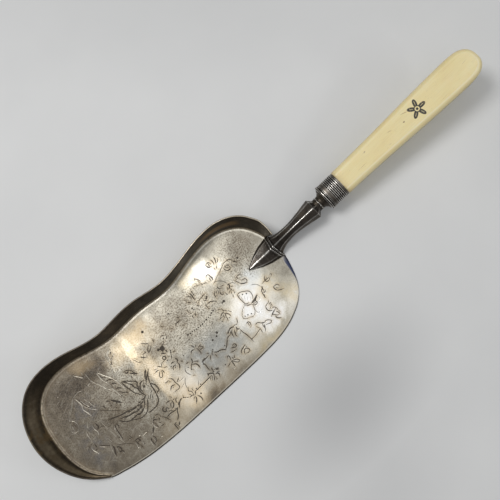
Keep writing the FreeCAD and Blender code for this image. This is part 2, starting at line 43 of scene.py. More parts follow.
RIM = np.array([
    (19.55, 7.90, 14.0, 15.5, 2.30), (18.35, 11.55, 19.0, 15.0, 4.75), (16.00, 16.80, 27.5, 15.0, 5.20),
    (13.20, 20.77, 42.1, 15.0, 5.30), (8.02, 25.07, 58.0, 15.0, 4.90), (1.50, 28.03, 72.8, 15.0, 4.00),
    (-6.12, 29.39, 86.3, 15.0, 3.05), (-15.52, 29.06, 96.7, 15.0, 2.40), (-29.23, 26.56, 101.6, 15.0, 2.45),
    (-41.35, 24.42, 95.3, 15.0, 3.50), (-49.60, 24.50, 86.0, 15.0, 4.30), (-59.39, 25.72, 85.3, 15.0, 4.80),
    (-71.68, 26.02, 91.6, 15.0, 4.80), (-84.00, 25.60, 89.0, 15.0, 4.60), (-94.80, 26.95, 78.4, 15.0, 4.50),
    (-106.20, 30.02, 77.4, 15.0, 4.65), (-116.88, 31.80, 86.7, 15.0, 5.15), (-125.14, 31.60, 97.6, 15.0, 5.50),
    (-132.02, 29.86, 112.6, 15.0, 5.65), (-137.74, 26.41, 129.0, 15.0, 5.60), (-142.47, 21.38, 145.2, 15.0, 5.45),
    (-145.60, 15.30, 160.8, 15.0, 5.40), (-147.70, 5.91, 172.8, 14.9, 5.45), (-148.43, -4.62, 180.6, 13.5, 4.55),
    (-147.50, -13.60, 191.6, 10.8, 3.40), (-145.18, -21.05, 204.6, 7.6, 2.45), (-141.45, -27.14, 218.6, 4.6, 1.55),
    (-136.34, -32.10, 233.2, 2.1, 0.95)])
LIP = [
    (-130.6, -35.35), (-125.2, -36.75), (-118.8, -38.05), (-112.0, -39.15), (-104.5, -39.95),
    (-97.0, -40.45), (-88.0, -40.85), (-78.0, -41.05), (-66.0, -41.15), (-54.0, -41.20),
    (-42.0, -41.20), (-31.0, -41.10), (-22.0, -40.80), (-14.0, -40.15), (-8.0, -39.15),
    (-2.8, -37.75), (2.0, -35.85), (6.7, -33.40), (10.9, -29.95), (14.6, -25.40),
    (17.4, -19.80), (19.5, -13.40), (20.9, -7.40)]
HEEL = (21.6, 0.0)
PLANES = {
    "tip": (-0.35, 1.0, 0.0), "kink": (6.90, 1.0, 6.5), "mid": (12.50, 1.0, 21.8),
    "step_a": (19.30, 1.0, 36.0), "step_b": (20.00, 1.0, 31.0), "step_c": (20.40, 1.0, 27.5),
    "heel": (21.05, 1.0, 21.0),
    "waist_a": (24.80, 2.05, 20.4), "waist_b": (29.00, 4.30, 22.0), "waist_c": (33.50, 5.90, 17.8),
    "waist_d": (38.30, 6.45, 11.3), "swell": (44.10, 6.25, 7.7), "crown": (50.20, 5.65, 7.0),
    "shoulder": (52.10, 7.20, 7.0)}
STEM = {
    "foot_tip": ("tip", 0.45, (0.35, 0.36), (0.55, 0.20), (0.55, 0.0)),
    "foot_kink": ("kink", 1.76, (3.45, 0.90), (4.40, 0.35), (4.40, 0.0)),
    "foot_mid": ("mid", 3.23, (5.00, 1.45), (6.35, 0.45), (6.35, 0.0)),
    "foot_end": ("step_a", 5.44, (5.95, 2.45), (7.55, 0.75), (7.55, 0.0)),
    "band_a0": ("step_a", 5.80, (6.15, 2.70), (7.75, 0.90), (7.75, 0.0)),
    "band_a1": ("step_b", 5.95, (6.10, 2.90), (7.70, 1.00), (7.65, 0.0)),
    "groove_0": ("step_b", 5.42, (5.65, 2.60), (7.30, 0.90), (7.25, 0.0)),
    "groove_1": ("step_c", 5.52, (5.60, 2.75), (7.25, 1.00), (7.15, 0.0)),
    "band_b0": ("step_c", 6.00, (5.85, 3.05), (7.55, 1.15), (7.45, 0.0)),
    "band_b1": ("heel", 6.25, (5.75, 3.35), (7.35, 1.30), (7.20, 0.0)),
    "shank_0": ("heel", 5.98, (4.55, 4.15), (6.40, 1.90), (4.90, 0.0)),
    "shank_1": ("waist_a", 6.88, (3.35, 5.35), (4.90, 2.95), (3.45, 0.95)),
    "shank_2": ("waist_b", 6.68, (2.88, 5.45), (4.15, 3.25), (2.88, 1.15)),
    "shank_3": ("waist_c", 6.88, (2.74, 5.65), (3.95, 3.45), (2.74, 1.20)),
    "shank_4": ("waist_d", 7.70, (3.05, 6.25), (4.40, 3.85), (3.05, 1.35)),
    "shank_5": ("swell", 8.98, (3.68, 7.25), (5.30, 4.45), (3.68, 1.60)),
    "shank_6": ("crown", 10.33, (4.45, 8.25), (6.40, 5.15), (4.45, 2.05)),
    "shoulder": ("shoulder", 7.10, (2.85, 5.95), (4.00, 3.55), (2.85, 1.10))}
NECK = [
    (-5.60, 3.80, 3.40), (-4.75, 3.80, 3.40), (-4.42, 3.92, 3.52), (-4.10, 4.10, 3.68), (-3.78, 3.92, 3.52), (-3.45, 3.78, 3.38),
    (-2.40, 4.05, 3.55), (-1.40, 4.95, 4.00), (-0.70, 6.20, 4.65), (-0.18, 6.98, 5.05), (0.0, 7.10, 5.15)]
HANDLE = [
    (12.3, 7.62), (28.0, 7.85), (44.0, 8.25), (60.0, 8.85), (76.0, 9.38), (90.0, 9.68),
    (98.0, 9.72), (103.2, 9.45), (107.4, 8.45), (110.55, 6.35), (112.4, 3.40),
    (113.0, 0.0), (112.75, -3.50), (110.95, -6.50), (107.7, -8.55), (103.4, -9.52),
    (98.0, -9.75), (90.0, -9.68), (76.0, -9.38), (60.0, -8.85), (44.0, -8.25),
    (28.0, -7.85), (12.3, -7.62)]
SEAT = np.array([58.0, 0.0, 11.5])
TILT = math.radians(7.0)
AX = np.array([math.cos(TILT), 0, math.sin(TILT)])
AY = np.array([0.0, 1.0, 0.0])
AZ = np.array([-math.sin(TILT), 0, math.cos(TILT)])


# ---------------------------------------------------------------- curves and meshes
def cubic(knots, values, at, closed=False):
    """C2 cubic through values at knots, read at the parameters `at`."""
    k, v, at = np.asarray(knots, float), np.asarray(values, float), np.asarray(at, float)
    n = len(k)
    gap = np.diff(k)
    A, B = np.zeros((n, n)), np.zeros((n, v.shape[1]))
    for i in range(1, n - 1):
        A[i, i - 1], A[i, i], A[i, i + 1] = gap[i - 1], 2 * (gap[i - 1] + gap[i]), gap[i]
        B[i] = 6 * ((v[i + 1] - v[i]) / gap[i] - (v[i] - v[i - 1]) / gap[i - 1])
    if closed:
        A[0, 0], A[0, n - 1] = 1, -1
        A[n - 1, 0], A[n - 1, 1], A[n - 1, n - 2], A[n - 1, n - 1] = 2 * gap[0], gap[0], gap[-1], 2 * gap[-1]
        B[n - 1] = 6 * ((v[1] - v[0]) / gap[0] - (v[n - 1] - v[n - 2]) / gap[-1])
    else:
        A[0, 0] = A[n - 1, n - 1] = 1
    m = np.linalg.solve(A, B)
    i = np.clip(np.searchsorted(k, at, side="right") - 1, 0, n - 2)
    h = gap[i][:, None]
    a = ((k[i + 1] - at)[:, None]) / h
    b = 1 - a
    return a * v[i] + b * v[i + 1] + ((a ** 3 - a) * m[i] + (b ** 3 - b) * m[i + 1]) * h * h / 6


def chords(pts, closed=False):
    p = np.asarray(pts, float)
    if closed:
        p = np.vstack([p, p[:1]])
    return np.concatenate([[0.0], np.cumsum(np.linalg.norm(np.diff(p, axis=0), axis=1))])


def smooth(x, lo, hi):
    t = np.clip((np.asarray(x, float) - lo) / (hi - lo), 0, 1)
    return t * t * (3 - 2 * t)


def piece(name, verts, faces, node, material, flat=None, attrs=None, shifted=True):
    """One mesh object in the row frame, in metres, that stands for a CAD node and rides with it."""
    v = np.asarray(verts, float)
    if shifted:
        v = v + SHIFT
    me = bpy.data.meshes.new(name)
    me.from_pydata((v * 0.001).tolist(), [], faces)
    me.update()
    smooth_face = np.ones(len(me.polygons), dtype=bool)
    if flat is not None:
        smooth_face[:len(flat)] = ~np.asarray(flat, bool)
    me.polygons.foreach_set("use_smooth", smooth_face)
    for key, data in (attrs or {}).items():
        a = me.attributes.new(key, "FLOAT", "POINT")
        a.data.foreach_set("value", np.asarray(data, np.float32))
    me.validate()
    ob = bpy.data.objects.new(name, me)
    bpy.context.scene.collection.objects.link(ob)
    me.materials.append(material)
    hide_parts(node)
    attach(ob, "root")
    return ob


def skin(rings, n, closed_ring=True):
    """Quads between equal rings of n points, numbered ring after ring."""
    out = []
    for r in range(rings - 1):
        for i in range(n if closed_ring else n - 1):
            j = (i + 1) % n
            out.append((r * n + i, r * n + j, (r + 1) * n + j, (r + 1) * n + i))
    return out


# ---------------------------------------------------------------- node materials
class Paint:
    """A small writer of shader nodes."""

    def __init__(self, name):
        self.m = bpy.data.materials.new(name)
        self.m.use_nodes = True
        self.t = self.m.node_tree
        self.t.nodes.clear()
        out = self.t.nodes.new("ShaderNodeOutputMaterial")
        self.b = self.t.nodes.new("ShaderNodeBsdfPrincipled")
        self.t.links.new(self.b.outputs[0], out.inputs[0])
        self.obj = self.t.nodes.new("ShaderNodeTexCoord").outputs["Object"]
        self.mm = self.scale(self.obj, 1000.0)
        xyz = self.t.nodes.new("ShaderNodeSeparateXYZ")
        self.t.links.new(self.mm, xyz.inputs[0])
        self.x, self.y, self.z = xyz.outputs

    def put(self, socket, x):
        if isinstance(x, bpy.types.NodeSocket):
            self.t.links.new(x, socket)
        elif isinstance(x, (tuple, list)) and len(x) == 3 and len(socket.default_value) == 4:
            socket.default_value = (*x, 1.0)
        else:
            socket.default_value = x

    def set(self, **kw):
        for k, x in kw.items():
            self.put(self.b.inputs[k.replace("_", " ")], x)

    def scale(self, vec, s):
        n = self.t.nodes.new("ShaderNodeVectorMath")
        n.operation = "SCALE"
        self.put(n.inputs[0], vec)
        n.inputs["Scale"].default_value = s
        return n.outputs[0]

    def vec(self, op, a, b):
        n = self.t.nodes.new("ShaderNodeVectorMath")
        n.operation = op
        self.put(n.inputs[0], a)
        self.put(n.inputs[1], b)
        return n.outputs["Value"] if op in ("LENGTH", "DOT_PRODUCT", "DISTANCE") else n.outputs[0]

    def math(self, op, a, b=0.0, clamp=False):
        n = self.t.nodes.new("ShaderNodeMath")
        n.operation = op
        n.use_clamp = clamp
        self.put(n.inputs[0], a)
        self.put(n.inputs[1], b)
        return n.outputs[0]

    def add(self, a, b): return self.math("ADD", a, b)
    def sub(self, a, b): return self.math("SUBTRACT", a, b)
    def mul(self, a, b): return self.math("MULTIPLY", a, b)
    def most(self, a, b): return self.math("MAXIMUM", a, b)

    def step(self, x, lo, hi, to_lo=0.0, to_hi=1.0):
        n = self.t.nodes.new("ShaderNodeMapRange")
        n.interpolation_type = "SMOOTHSTEP"
        self.put(n.inputs["Value"], x)
        for k, v in (("From Min", lo), ("From Max", hi), ("To Min", to_lo), ("To Max", to_hi)):
            self.put(n.inputs[k], v)
        return n.outputs[0]

    def band(self, x, a, b, c, d):
        """0 below a, 1 from b to c, 0 above d."""
        return self.mul(self.step(x, a, b), self.step(x, c, d, 1.0, 0.0))

    def mapped(self, vec, loc=(0, 0, 0), rot=(0, 0, 0), size=(1, 1, 1)):
        """vec in the axes of a placed, turned and scaled box."""
        n = self.t.nodes.new("ShaderNodeMapping")
        n.vector_type = "TEXTURE"
        self.put(n.inputs[0], vec)
        n.inputs["Location"].default_value = loc
        n.inputs["Rotation"].default_value = rot
        n.inputs["Scale"].default_value = size
        return n.outputs[0]

    def noise(self, vec, scale, detail=3.0, rough=0.5, twist=0.0, colour=False):
        n = self.t.nodes.new("ShaderNodeTexNoise")
        self.put(n.inputs["Vector"], vec)
        n.inputs["Scale"].default_value = scale
        n.inputs["Detail"].default_value = detail
        n.inputs["Roughness"].default_value = rough
        n.inputs["Distortion"].default_value = twist
        return n.outputs["Color" if colour else 0]

    def cells(self, vec, scale, feature="F1", rand=1.0):
        n = self.t.nodes.new("ShaderNodeTexVoronoi")
        n.feature = feature
        self.put(n.inputs["Vector"], vec)
        n.inputs["Scale"].default_value = scale
        n.inputs["Randomness"].default_value = rand
        return n.outputs["Distance"]

    def spot(self, vec, cx, cy, rx, ry, turn=0.0, soft=1.0):
        """1 in the middle of a turned ellipse on the XY plane, falling to 0 at its edge."""
        n = self.t.nodes.new("ShaderNodeTexGradient")
        n.gradient_type = "SPHERICAL"
        self.put(n.inputs[0], self.mapped(vec, (cx, cy, 0), (0, 0, math.radians(turn)), (rx, ry, 1)))
        return self.step(n.outputs[1], 0.0, soft)

    def attr(self, name):
        n = self.t.nodes.new("ShaderNodeAttribute")
        n.attribute_name = name
        return n.outputs["Fac"]

    def mix(self, f, a, b, mode="MIX"):
        n = self.t.nodes.new("ShaderNodeMix")
        n.data_type = "RGBA"
        n.blend_type = mode
        n.clamp_factor = True
        self.put(n.inputs[0], f)
        self.put(n.inputs[6], a)
        self.put(n.inputs[7], b)
        return n.outputs[2]

    def blend(self, f, a, b):
        """Plain number between a and b."""
        n = self.t.nodes.new("ShaderNodeMix")
        n.data_type = "FLOAT"
        n.clamp_factor = True
        self.put(n.inputs[0], f)
        self.put(n.inputs[2], a)
        self.put(n.inputs[3], b)
        return n.outputs[0]

    def ramp(self, f, stops):
        n = self.t.nodes.new("ShaderNodeValToRGB")
        self.put(n.inputs[0], f)
        e = n.color_ramp.elements
        while len(e) < len(stops):
            e.new(0.5)
        for el, (p, c) in zip(e, stops):
            el.position = p
            el.color = (*c, 1.0)
        return n.outputs[0]

    def bump(self, height, strength=0.3, distance=0.0001, normal=None):
        n = self.t.nodes.new("ShaderNodeBump")
        n.inputs["Strength"].default_value = strength
        n.inputs["Distance"].default_value = distance
        self.put(n.inputs["Height"], height)
        if normal is not None:
            self.put(n.inputs["Normal"], normal)
        return n.outputs[0]


def hairlines(p, vec, turn, across, along, cut, seed):
    """Long thin scratches at one angle: 1 on a scratch."""
    v = p.mapped(vec, (seed * 31.0, seed * 17.0, seed * 5.0), (0, 0, math.radians(turn)), (along, across, across))
    n = p.noise(v, 1.0, 1.0, 0.3)
    return p.step(n, cut, cut + 0.035)


WHITE = (0.95, 0.935, 0.90)
CREAM = (0.86, 0.80, 0.66)

# Engraved lines of the sheet, in millimetres on its top in the row frame: tone (1 dark, less is
# fainter, below 0 a pale bright-cut line), width, then the points that the graver passes through.
CUTS = (
    (1, 0.55, '-23.7,-11.3 -24.0,-8.1 -24.0,-5.7 -23.8,-4.0'),
    (1, 0.45, '-23.8,-4.0 -22.5,-3.8 -20.7,-4.3 -19.0,-5.4 -17.4,-6.8 -17.0,-8.1 -17.3,-9.6 -17.9,-11.0 -18.7,-11.9'),
    (1, 0.55, '-24.3,-10.7 -23.3,-11.4 -21.8,-11.8'),
    (1, 0.6, '-23.9,-12.2 -22.5,-12.9 -21.4,-13.3'),
    (0.35, 0.3, '-22.8,-6.1 -23.3,-8.8'),
    (0.35, 0.3, '-21.1,-7.2 -22.5,-9.5'),
    (0.35, 0.3, '-19.7,-8.5 -21.5,-10.7'),
    (0.35, 0.3, '-18.7,-9.7 -20.2,-11.5'),
    (1, 1.3, '-15.5,-11.8 -17.6,-12.6 -20.6,-13.1'),
    (1, 0.9, '-16.9,-12.7 -18.4,-13.3 -20.2,-13.0'),
    (1, 0.6, '-21.2,-13.8 -20.3,-14.9 -18.7,-15.4 -18.0,-14.5 -18.6,-13.3'),
    (1, 0.5, '-20.1,-13.9 -18.7,-14.4'),
    (0.4, 0.35, '-15.1,-13.1 -15.5,-14.4 -16.8,-15.1'),
    (0.7, 0.4, '-24.7,-11.2 -26.7,-12.2 -28.6,-13.5 -29.8,-15.0 -30.1,-16.4 -29.0,-17.6 -27.3,-18.3'),
    (0.8, 0.4, '-21.2,-14.8 -21.7,-16.5 -22.8,-18.1 -24.2,-19.2 -25.7,-19.1 -26.5,-18.5'),
    (0.4, 0.35, '-21.6,-17.3 -22.0,-18.2 -21.8,-19.2 -20.7,-19.9 -19.3,-19.8'),
    (1, 0.5, '-16.9,2.2 -17.0,3.6 -16.0,4.2 -15.0,4.0 -14.2,3.2'),
    (0.7, 0.45, '-19.0,3.1 -18.5,1.4 -17.9,-0.4'),
    (1, 0.75, '-17.9,-0.4 -16.3,-1.7 -14.9,-2.3'),
    (1, 0.5, '-14.9,-2.3 -13.9,-1.7 -13.9,-0.4 -15.0,0.3 -16.5,0.3'),
    (0.7, 0.4, '-29.3,10.2 -27.6,10.6 -25.7,11.5 -23.6,12.2'),
    (0.75, 0.5, '-23.6,12.2 -21.1,13.2 -19.0,14.1 -16.8,14.8 -14.8,14.8 -13.1,14.2 -12.2,13.0'),
    (1, 0.8, '-12.4,11.8 -11.1,10.7'),
    (1, 0.7, '-10.2,12.2 -8.7,11.7 -10.0,11.3'),
    (1, 0.5, '-19.0,12.9 -19.1,11.5 -18.2,10.3 -16.7,9.8 -15.7,10.3'),
    (1, 0.45, '-18.5,12.9 -17.1,12.8 -15.8,12.1 -15.9,11.1'),
    (1, 0.6, '-18.1,12.2 -16.6,10.7'),
    (1, 0.7, '-19.1,21.4 -19.3,19.8 -20.4,18.2'),
    (1, 0.5, '-17.8,19.4 -18.5,18.3 -19.8,17.9'),
    (1, 0.6, '-21.4,21.5 -21.1,20.0 -21.6,18.2'),
    (1, 0.6, '-21.2,16.5 -22.1,15.3'),
    (1, 0.5, '-23.0,16.6 -23.2,15.5'),
    (0.5, 0.4, '-28.7,10.4 -26.9,9.8 -25.1,8.3 -24.0,6.6 -23.6,4.9'),
    (0.5, 0.4, '-23.4,3.7 -21.9,3.7 -20.7,2.9 -20.2,1.7'),
    (1, 0.55, '-28.9,7.5 -29.1,6.1 -28.1,5.1'),
    (1, 0.5, '-30.9,6.3 -32.0,4.8'),
    (1, 0.5, '-29.9,5.7 -31.1,4.0'),
    (1, 0.5, '-32.0,6.5 -33.3,4.9 -33.7,3.3'),
    (1, 0.6, '-29.5,4.5 -30.2,2.8 -29.4,1.6'),
    (1, 0.5, '-29.4,1.6 -28.7,2.7'),
    (1, 0.4, '-27.0,6.0 -25.6,5.6'),
    (1, 0.45, '-27.9,1.9 -27.8,1.0'),
    (1, 0.4, '-30.1,7.0 -28.4,6.6'),
    (1, 0.9, '-24.0,3.9 -23.1,4.1 -23.5,2.9 -25.2,1.7'),
    (1, 0.6, '-24.8,3.3 -25.9,1.9'),
    (1, 0.55, '-23.3,2.3 -22.0,1.5'),
    (1, 0.5, '-23.9,1.7 -24.0,-0.3'),
    (1, 0.5, '-25.0,0.8 -26.6,-0.1'),
    (1, 0.45, '-24.8,0.2 -25.6,-1.5'),
    (1, 0.45, '-23.2,-0.2 -23.7,-1.3'),
    (1, 0.7, '-25.5,-2.3 -26.1,-3.2'),
    (1, 0.5, '-37.1,-3.0 -36.2,-3.4'),
    (1, 0.6, '-35.6,-4.2 -35.7,-5.3'),
    (1, 0.55, '-35.3,-5.3 -34.2,-6.8'),
    (1, 0.5, '-33.6,-6.9 -33.0,-8.4'),
    (1, 0.45, '-38.9,-3.5 -38.5,-4.5'),
    (1, 0.55, '-38.4,-6.0 -36.4,-6.1 -36.2,-6.7'),
    (1, 0.6, '-36.0,-6.7 -34.9,-8.2 -34.5,-10.1'),
    (1, 0.5, '-39.2,-6.5 -37.5,-6.3'),
    (1, 0.7, '-35.8,-7.1 -36.7,-8.5'),
    (1, 0.5, '-36.9,-7.0 -38.5,-7.9'),
    (1, 0.5, '-38.7,-7.3 -41.2,-7.4'),
    (1, 0.5, '-36.6,-8.8 -37.4,-10.9'),
    (1, 0.4, '-38.1,-8.6 -39.6,-9.1'),
    (1, 0.6, '-10.3,-9.7 -10.5,-11.6 -11.0,-12.9'),
    (1, 0.6, '-11.3,-11.1 -12.0,-12.2 -12.5,-14.1 -12.8,-16.1'),
    (1, 0.8, '-10.1,-10.6 -11.4,-11.7'),
    (1, 0.45, '-9.9,-12.5 -10.5,-14.0'),
    (1, 0.8, '-12.1,-14.3 -13.0,-15.8'),
    (0.5, 0.4, '-13.8,-5.3 -12.3,-6.2 -11.1,-7.7 -10.5,-9.4'),
    (1, 0.7, '-5.3,-14.7 -5.4,-16.2 -5.1,-17.5'),
    (1, 0.5, '-5.3,-14.8 -3.7,-14.8 -2.5,-15.3 -2.4,-16.4'),
    (1, 0.55, '-5.0,-17.5 -3.7,-18.5 -2.0,-19.3'),
    (1, 0.4, '-4.6,-16.0 -3.6,-17.2'),
    (1, 0.55, '-4.8,-6.7 -6.0,-7.9 -6.2,-9.5 -4.9,-10.2 -3.6,-9.7'),
    (1, 0.5, '-8.6,-9.0 -6.7,-8.8 -4.9,-8.9 -3.5,-8.8'),
    (1, 0.5, '-5.8,-8.5 -4.4,-8.2'),
    (0.7, 0.6, '-2.0,-7.8 -1.1,-8.4 -2.0,-9.3'),
    (1, 0.45, '-12.7,-18.4 -13.5,-19.8 -13.6,-20.9'),
    (1, 0.6, '-14.7,-19.4 -16.1,-20.1 -16.8,-21.7 -16.1,-23.4 -14.8,-24.2'),
    (1, 0.5, '-13.6,-21.2 -14.2,-22.2 -15.2,-22.5'),
    (1, 0.45, '-12.8,-20.7 -13.2,-22.5'),
    (1, 0.5, '-14.1,-23.0 -12.9,-23.4 -12.3,-24.4 -12.2,-26.1'),
    (1, 0.9, '-13.4,-24.9 -15.1,-25.3 -16.9,-26.0'),
    (1, 0.5, '-16.9,-26.0 -15.8,-26.5 -14.8,-27.9 -13.7,-28.5'),
    (1, 0.55, '-13.6,-26.2 -13.0,-27.2 -13.1,-28.7'),
    (1, 0.8, '-15.8,-27.7 -15.7,-28.9 -14.1,-30.6'),
    (1, 0.4, '-12.2,-26.4 -12.1,-27.7'),
    (1, 0.55, '-31.1,-19.7 -29.7,-19.5 -29.1,-20.3 -29.4,-21.7 -30.3,-22.7'),
    (1, 0.6, '-30.1,-19.6 -30.3,-21.0'),
    (1, 0.55, '-27.7,-23.7 -26.3,-23.4 -25.2,-24.1 -24.5,-25.3'),
    (1, 0.9, '-24.4,-25.1 -22.9,-26.2'),
    (1, 0.5, '-22.9,-26.1 -21.5,-25.9 -20.0,-26.8 -19.3,-28.2 -20.2,-28.7 -22.0,-28.1 -23.2,-27.7'),
    (1, 0.5, '-24.2,-25.8 -24.7,-27.2 -24.9,-29.0 -26.1,-30.3'),
    (1, 0.8, '-23.9,-27.2 -24.6,-28.6'),
    (0.6, 0.4, '-27.9,-24.7 -27.4,-25.9 -26.9,-27.2'),
    (1, 0.45, '-26.9,-27.1 -27.3,-28.3 -27.5,-29.7'),
    (1, 0.5, '-26.9,-27.1 -28.7,-27.4 -30.7,-27.9 -33.0,-28.1 -35.0,-28.1'),
    (1, 0.85, '-42.8,-16.3 -41.2,-15.8 -40.1,-15.4 -38.8,-15.4 -37.7,-16.0'),
    (1, 0.6, '-40.5,-16.5 -41.8,-18.0'),
    (1, 0.75, '-39.5,-16.6 -41.0,-18.4 -41.3,-19.7'),
    (1, 0.55, '-38.5,-17.6 -39.7,-19.1'),
    (1, 0.6, '-38.4,-18.8 -39.8,-20.2 -39.7,-21.0'),
    (1, 0.85, '-36.6,-17.0 -36.8,-18.4 -35.7,-18.9'),
    (1, 0.6, '-36.5,-17.9 -37.9,-19.0'),
    (0.5, 0.4, '-36.5,-20.6 -37.6,-21.6'),
    (1, 0.5, '-41.0,-15.9 -42.1,-16.7'),
    (1, 0.5, '-37.9,-15.7 -36.6,-15.6 -35.6,-15.8'),
    (0.8, 0.6, '-33.0,-13.6 -33.8,-14.9 -34.4,-16.0'),
    (1, 0.7, '-42.2,-17.9 -43.8,-18.1 -45.0,-18.6'),
    (1, 0.65, '-45.0,-18.6 -46.6,-20.1 -48.4,-21.6 -49.7,-22.4'),
    (1, 0.75, '-49.6,-22.4 -52.4,-20.5 -54.0,-20.1 -55.4,-19.0'),
    (1, 0.5, '-35.9,-19.5 -35.7,-21.7 -35.1,-24.6 -34.8,-27.2 -34.9,-29.5'),
    (1, 0.7, '-35.4,-22.8 -35.0,-24.8'),
    (1, 0.45, '-34.9,-28.0 -33.0,-28.1'),
    (1, 0.6, '-46.7,-23.9 -45.4,-24.7 -43.7,-25.1 -43.4,-24.2 -44.1,-23.2 -45.3,-23.3'),
    (1, 0.55, '-48.5,-25.4 -47.1,-26.1 -45.2,-26.3'),
    (1, 0.45, '-45.6,-23.9 -44.1,-24.3'),
    (1, 0.7, '-40.2,-27.9 -41.8,-28.4 -43.4,-28.9 -44.2,-30.1'),
    (1, 0.6, '-43.1,-31.5 -42.2,-30.0 -41.0,-29.6 -39.8,-30.5 -39.7,-31.9 -40.8,-32.4 -42.3,-31.9'),
    (1, 0.5, '-51.7,-29.3 -49.6,-30.1 -48.1,-31.4 -47.9,-32.4 -49.0,-32.4 -50.4,-30.9 -51.5,-29.7'),
    (1, 0.6, '-51.5,-28.7 -50.9,-27.3 -51.0,-26.0 -51.8,-25.9 -52.1,-26.7'),
    (1, 0.6, '-50.1,-29.2 -48.9,-28.8 -48.2,-27.9'),
    (1, 0.5, '-49.8,-27.8 -50.2,-28.8'),
    (1, 0.65, '-51.8,-29.5 -51.7,-31.1 -52.1,-32.8'),
    (-1, 0.5, '-52.1,-33.0 -53.5,-33.6 -54.0,-32.7'),
    (1, 0.6, '-52.7,-29.5 -54.1,-30.1 -55.2,-30.4'),
    (1, 0.6, '-58.8,-18.1 -61.0,-18.4 -63.4,-18.5 -64.1,-18.6 -64.1,-20.6 -64.2,-22.7 -64.3,-24.6'),
    (1, 0.9, '-58.9,-16.9 -58.1,-17.5'),
    (1, 0.6, '-58.4,-18.8 -59.8,-20.7'),
    (1, 0.6, '-55.6,-17.6 -56.7,-18.6'),
    (1, 0.5, '-55.9,-20.4 -56.0,-21.9'),
    (1, 0.8, '-62.7,-24.5 -63.1,-26.1'),
    (1, 0.6, '-62.3,-26.2 -61.5,-26.6'),
    (1, 1.4, '-61.1,-26.8 -60.4,-27.1'),
    (1, 0.6, '-61.6,-28.2 -60.4,-29.1'),
    (1, 0.8, '-67.2,-26.5 -66.0,-26.0 -64.7,-26.7 -63.8,-27.8'),
    (1, 0.7, '-63.8,-27.4 -64.4,-28.7'),
    (1, 0.65, '-63.3,-28.5 -62.2,-29.0 -61.8,-30.1 -62.2,-31.0'),
    (1, 0.5, '-62.0,-28.4 -61.4,-29.9'),
    (1, 0.75, '-64.9,-29.3 -66.0,-30.7'),
    (1, 0.5, '-65.4,-28.1 -66.7,-29.7'),
    (1, 0.45, '-66.6,-28.0 -67.6,-29.1'),
    (1, 0.4, '-64.1,-29.4 -64.4,-30.6'),
    (1, 0.7, '-66.3,-27.6 -68.0,-27.7 -70.4,-27.8 -73.2,-27.9 -76.0,-28.0 -78.4,-28.0'),
    (1, 0.6, '-62.8,-7.1 -62.3,-8.3 -62.3,-9.5'),
    (1, 0.5, '-60.8,-8.6 -61.3,-9.7'),
    (-1, 0.5, '-58.4,-9.4 -60.4,-10.0'),
    (1, 0.5, '-58.3,-10.4 -60.6,-10.7'),
    (1, 0.55, '-59.3,-11.1 -58.2,-12.5 -60.3,-12.6'),
    (1, 0.5, '-61.4,-11.1 -61.2,-12.7 -61.4,-14.2'),
    (1, 0.8, '-63.2,-9.8 -64.5,-9.7 -65.6,-10.4'),
    (1, 0.75, '-67.7,-12.5 -68.0,-13.9 -68.6,-14.9'),
    (1, 0.55, '-69.1,-14.7 -70.8,-16.2 -71.7,-17.5 -71.1,-18.1'),
    (1, 0.5, '-67.9,-14.8 -66.6,-15.6 -65.6,-16.5'),
    (1, 0.75, '-69.2,-15.9 -67.9,-16.6 -67.2,-18.0 -67.4,-19.9'),
    (1, 0.8, '-71.7,-13.0 -70.4,-13.0'),
    (0.5, 0.5, '-74.1,-14.6 -74.8,-15.7 -74.7,-17.7 -74.0,-19.4'),
    (0.8, 0.55, '-64.4,-18.1 -62.9,-17.9 -61.4,-18.0'),
    (1, 0.5, '-65.0,-19.7 -64.2,-20.3'),
    (1, 0.8, '-75.3,1.0 -75.2,-0.8'),
    (1, 0.8, '-73.7,-1.6 -74.3,-2.7'),
    (1, 0.6, '-72.7,-3.0 -71.8,-3.0'),
    (1, 0.55, '-74.8,-3.3 -75.9,-5.1'),
    (1, 0.5, '-76.6,-2.7 -76.2,-3.2'),
    (1, 0.75, '-79.9,-2.1 -79.4,-1.3 -78.3,-1.1 -77.9,-1.9 -78.3,-2.8 -79.3,-2.9 -79.9,-2.2'),
    (0.6, 0.5, '-79.9,-2.9 -81.9,-3.4 -83.2,-4.2'),
    (1, 0.8, '-74.2,-6.4 -74.0,-7.7 -74.8,-8.8'),
    (1, 0.8, '-78.1,-7.1 -77.1,-7.0 -76.1,-7.6'),
    (1, 0.7, '-72.9,-9.9 -72.3,-10.5'),
    (1, 0.75, '-74.9,-9.4 -74.9,-10.5 -75.5,-11.6 -76.4,-12.4'),
    (1, 0.75, '-77.3,-9.1 -78.4,-9.2 -79.3,-10.4'),
    (1, 0.45, '-77.0,-9.8 -77.9,-10.5'),
    (0.8, 0.8, '-84.9,-3.1 -83.5,-4.5'),
    (1, 0.8, '-82.4,-6.0 -81.4,-6.3'),
    (1, 0.5, '-87.4,-3.2 -86.0,-3.8'),
    (1, 0.85, '-88.1,-4.7 -86.7,-4.7 -85.9,-4.9'),
    (1, 0.8, '-84.4,-6.3 -84.2,-7.9'),
    (1, 0.5, '-85.8,-5.9 -86.9,-6.8 -87.8,-8.3 -87.5,-9.2 -86.3,-8.9 -85.4,-7.5 -85.0,-6.4'),
    (0.8, 0.5, '-80.8,9.5 -82.0,8.7 -83.1,7.4 -83.3,6.4 -82.3,6.7 -80.5,7.7 -79.6,8.6'),
    (1, 0.6, '-88.8,8.0 -87.2,6.2 -86.0,5.2'),
    (1, 0.5, '-86.8,7.1 -88.1,5.9'),
    (0.6, 0.5, '-82.8,12.9 -81.2,11.2 -79.9,10.4'),
    (0.6, 0.7, '-86.6,7.9 -85.4,7.7'),
    (0.8, 0.7, '-76.8,10.5 -77.1,9.1'),
    (1, 0.5, '-25.1,21.2 -23.4,21.3 -22.9,20.0'),
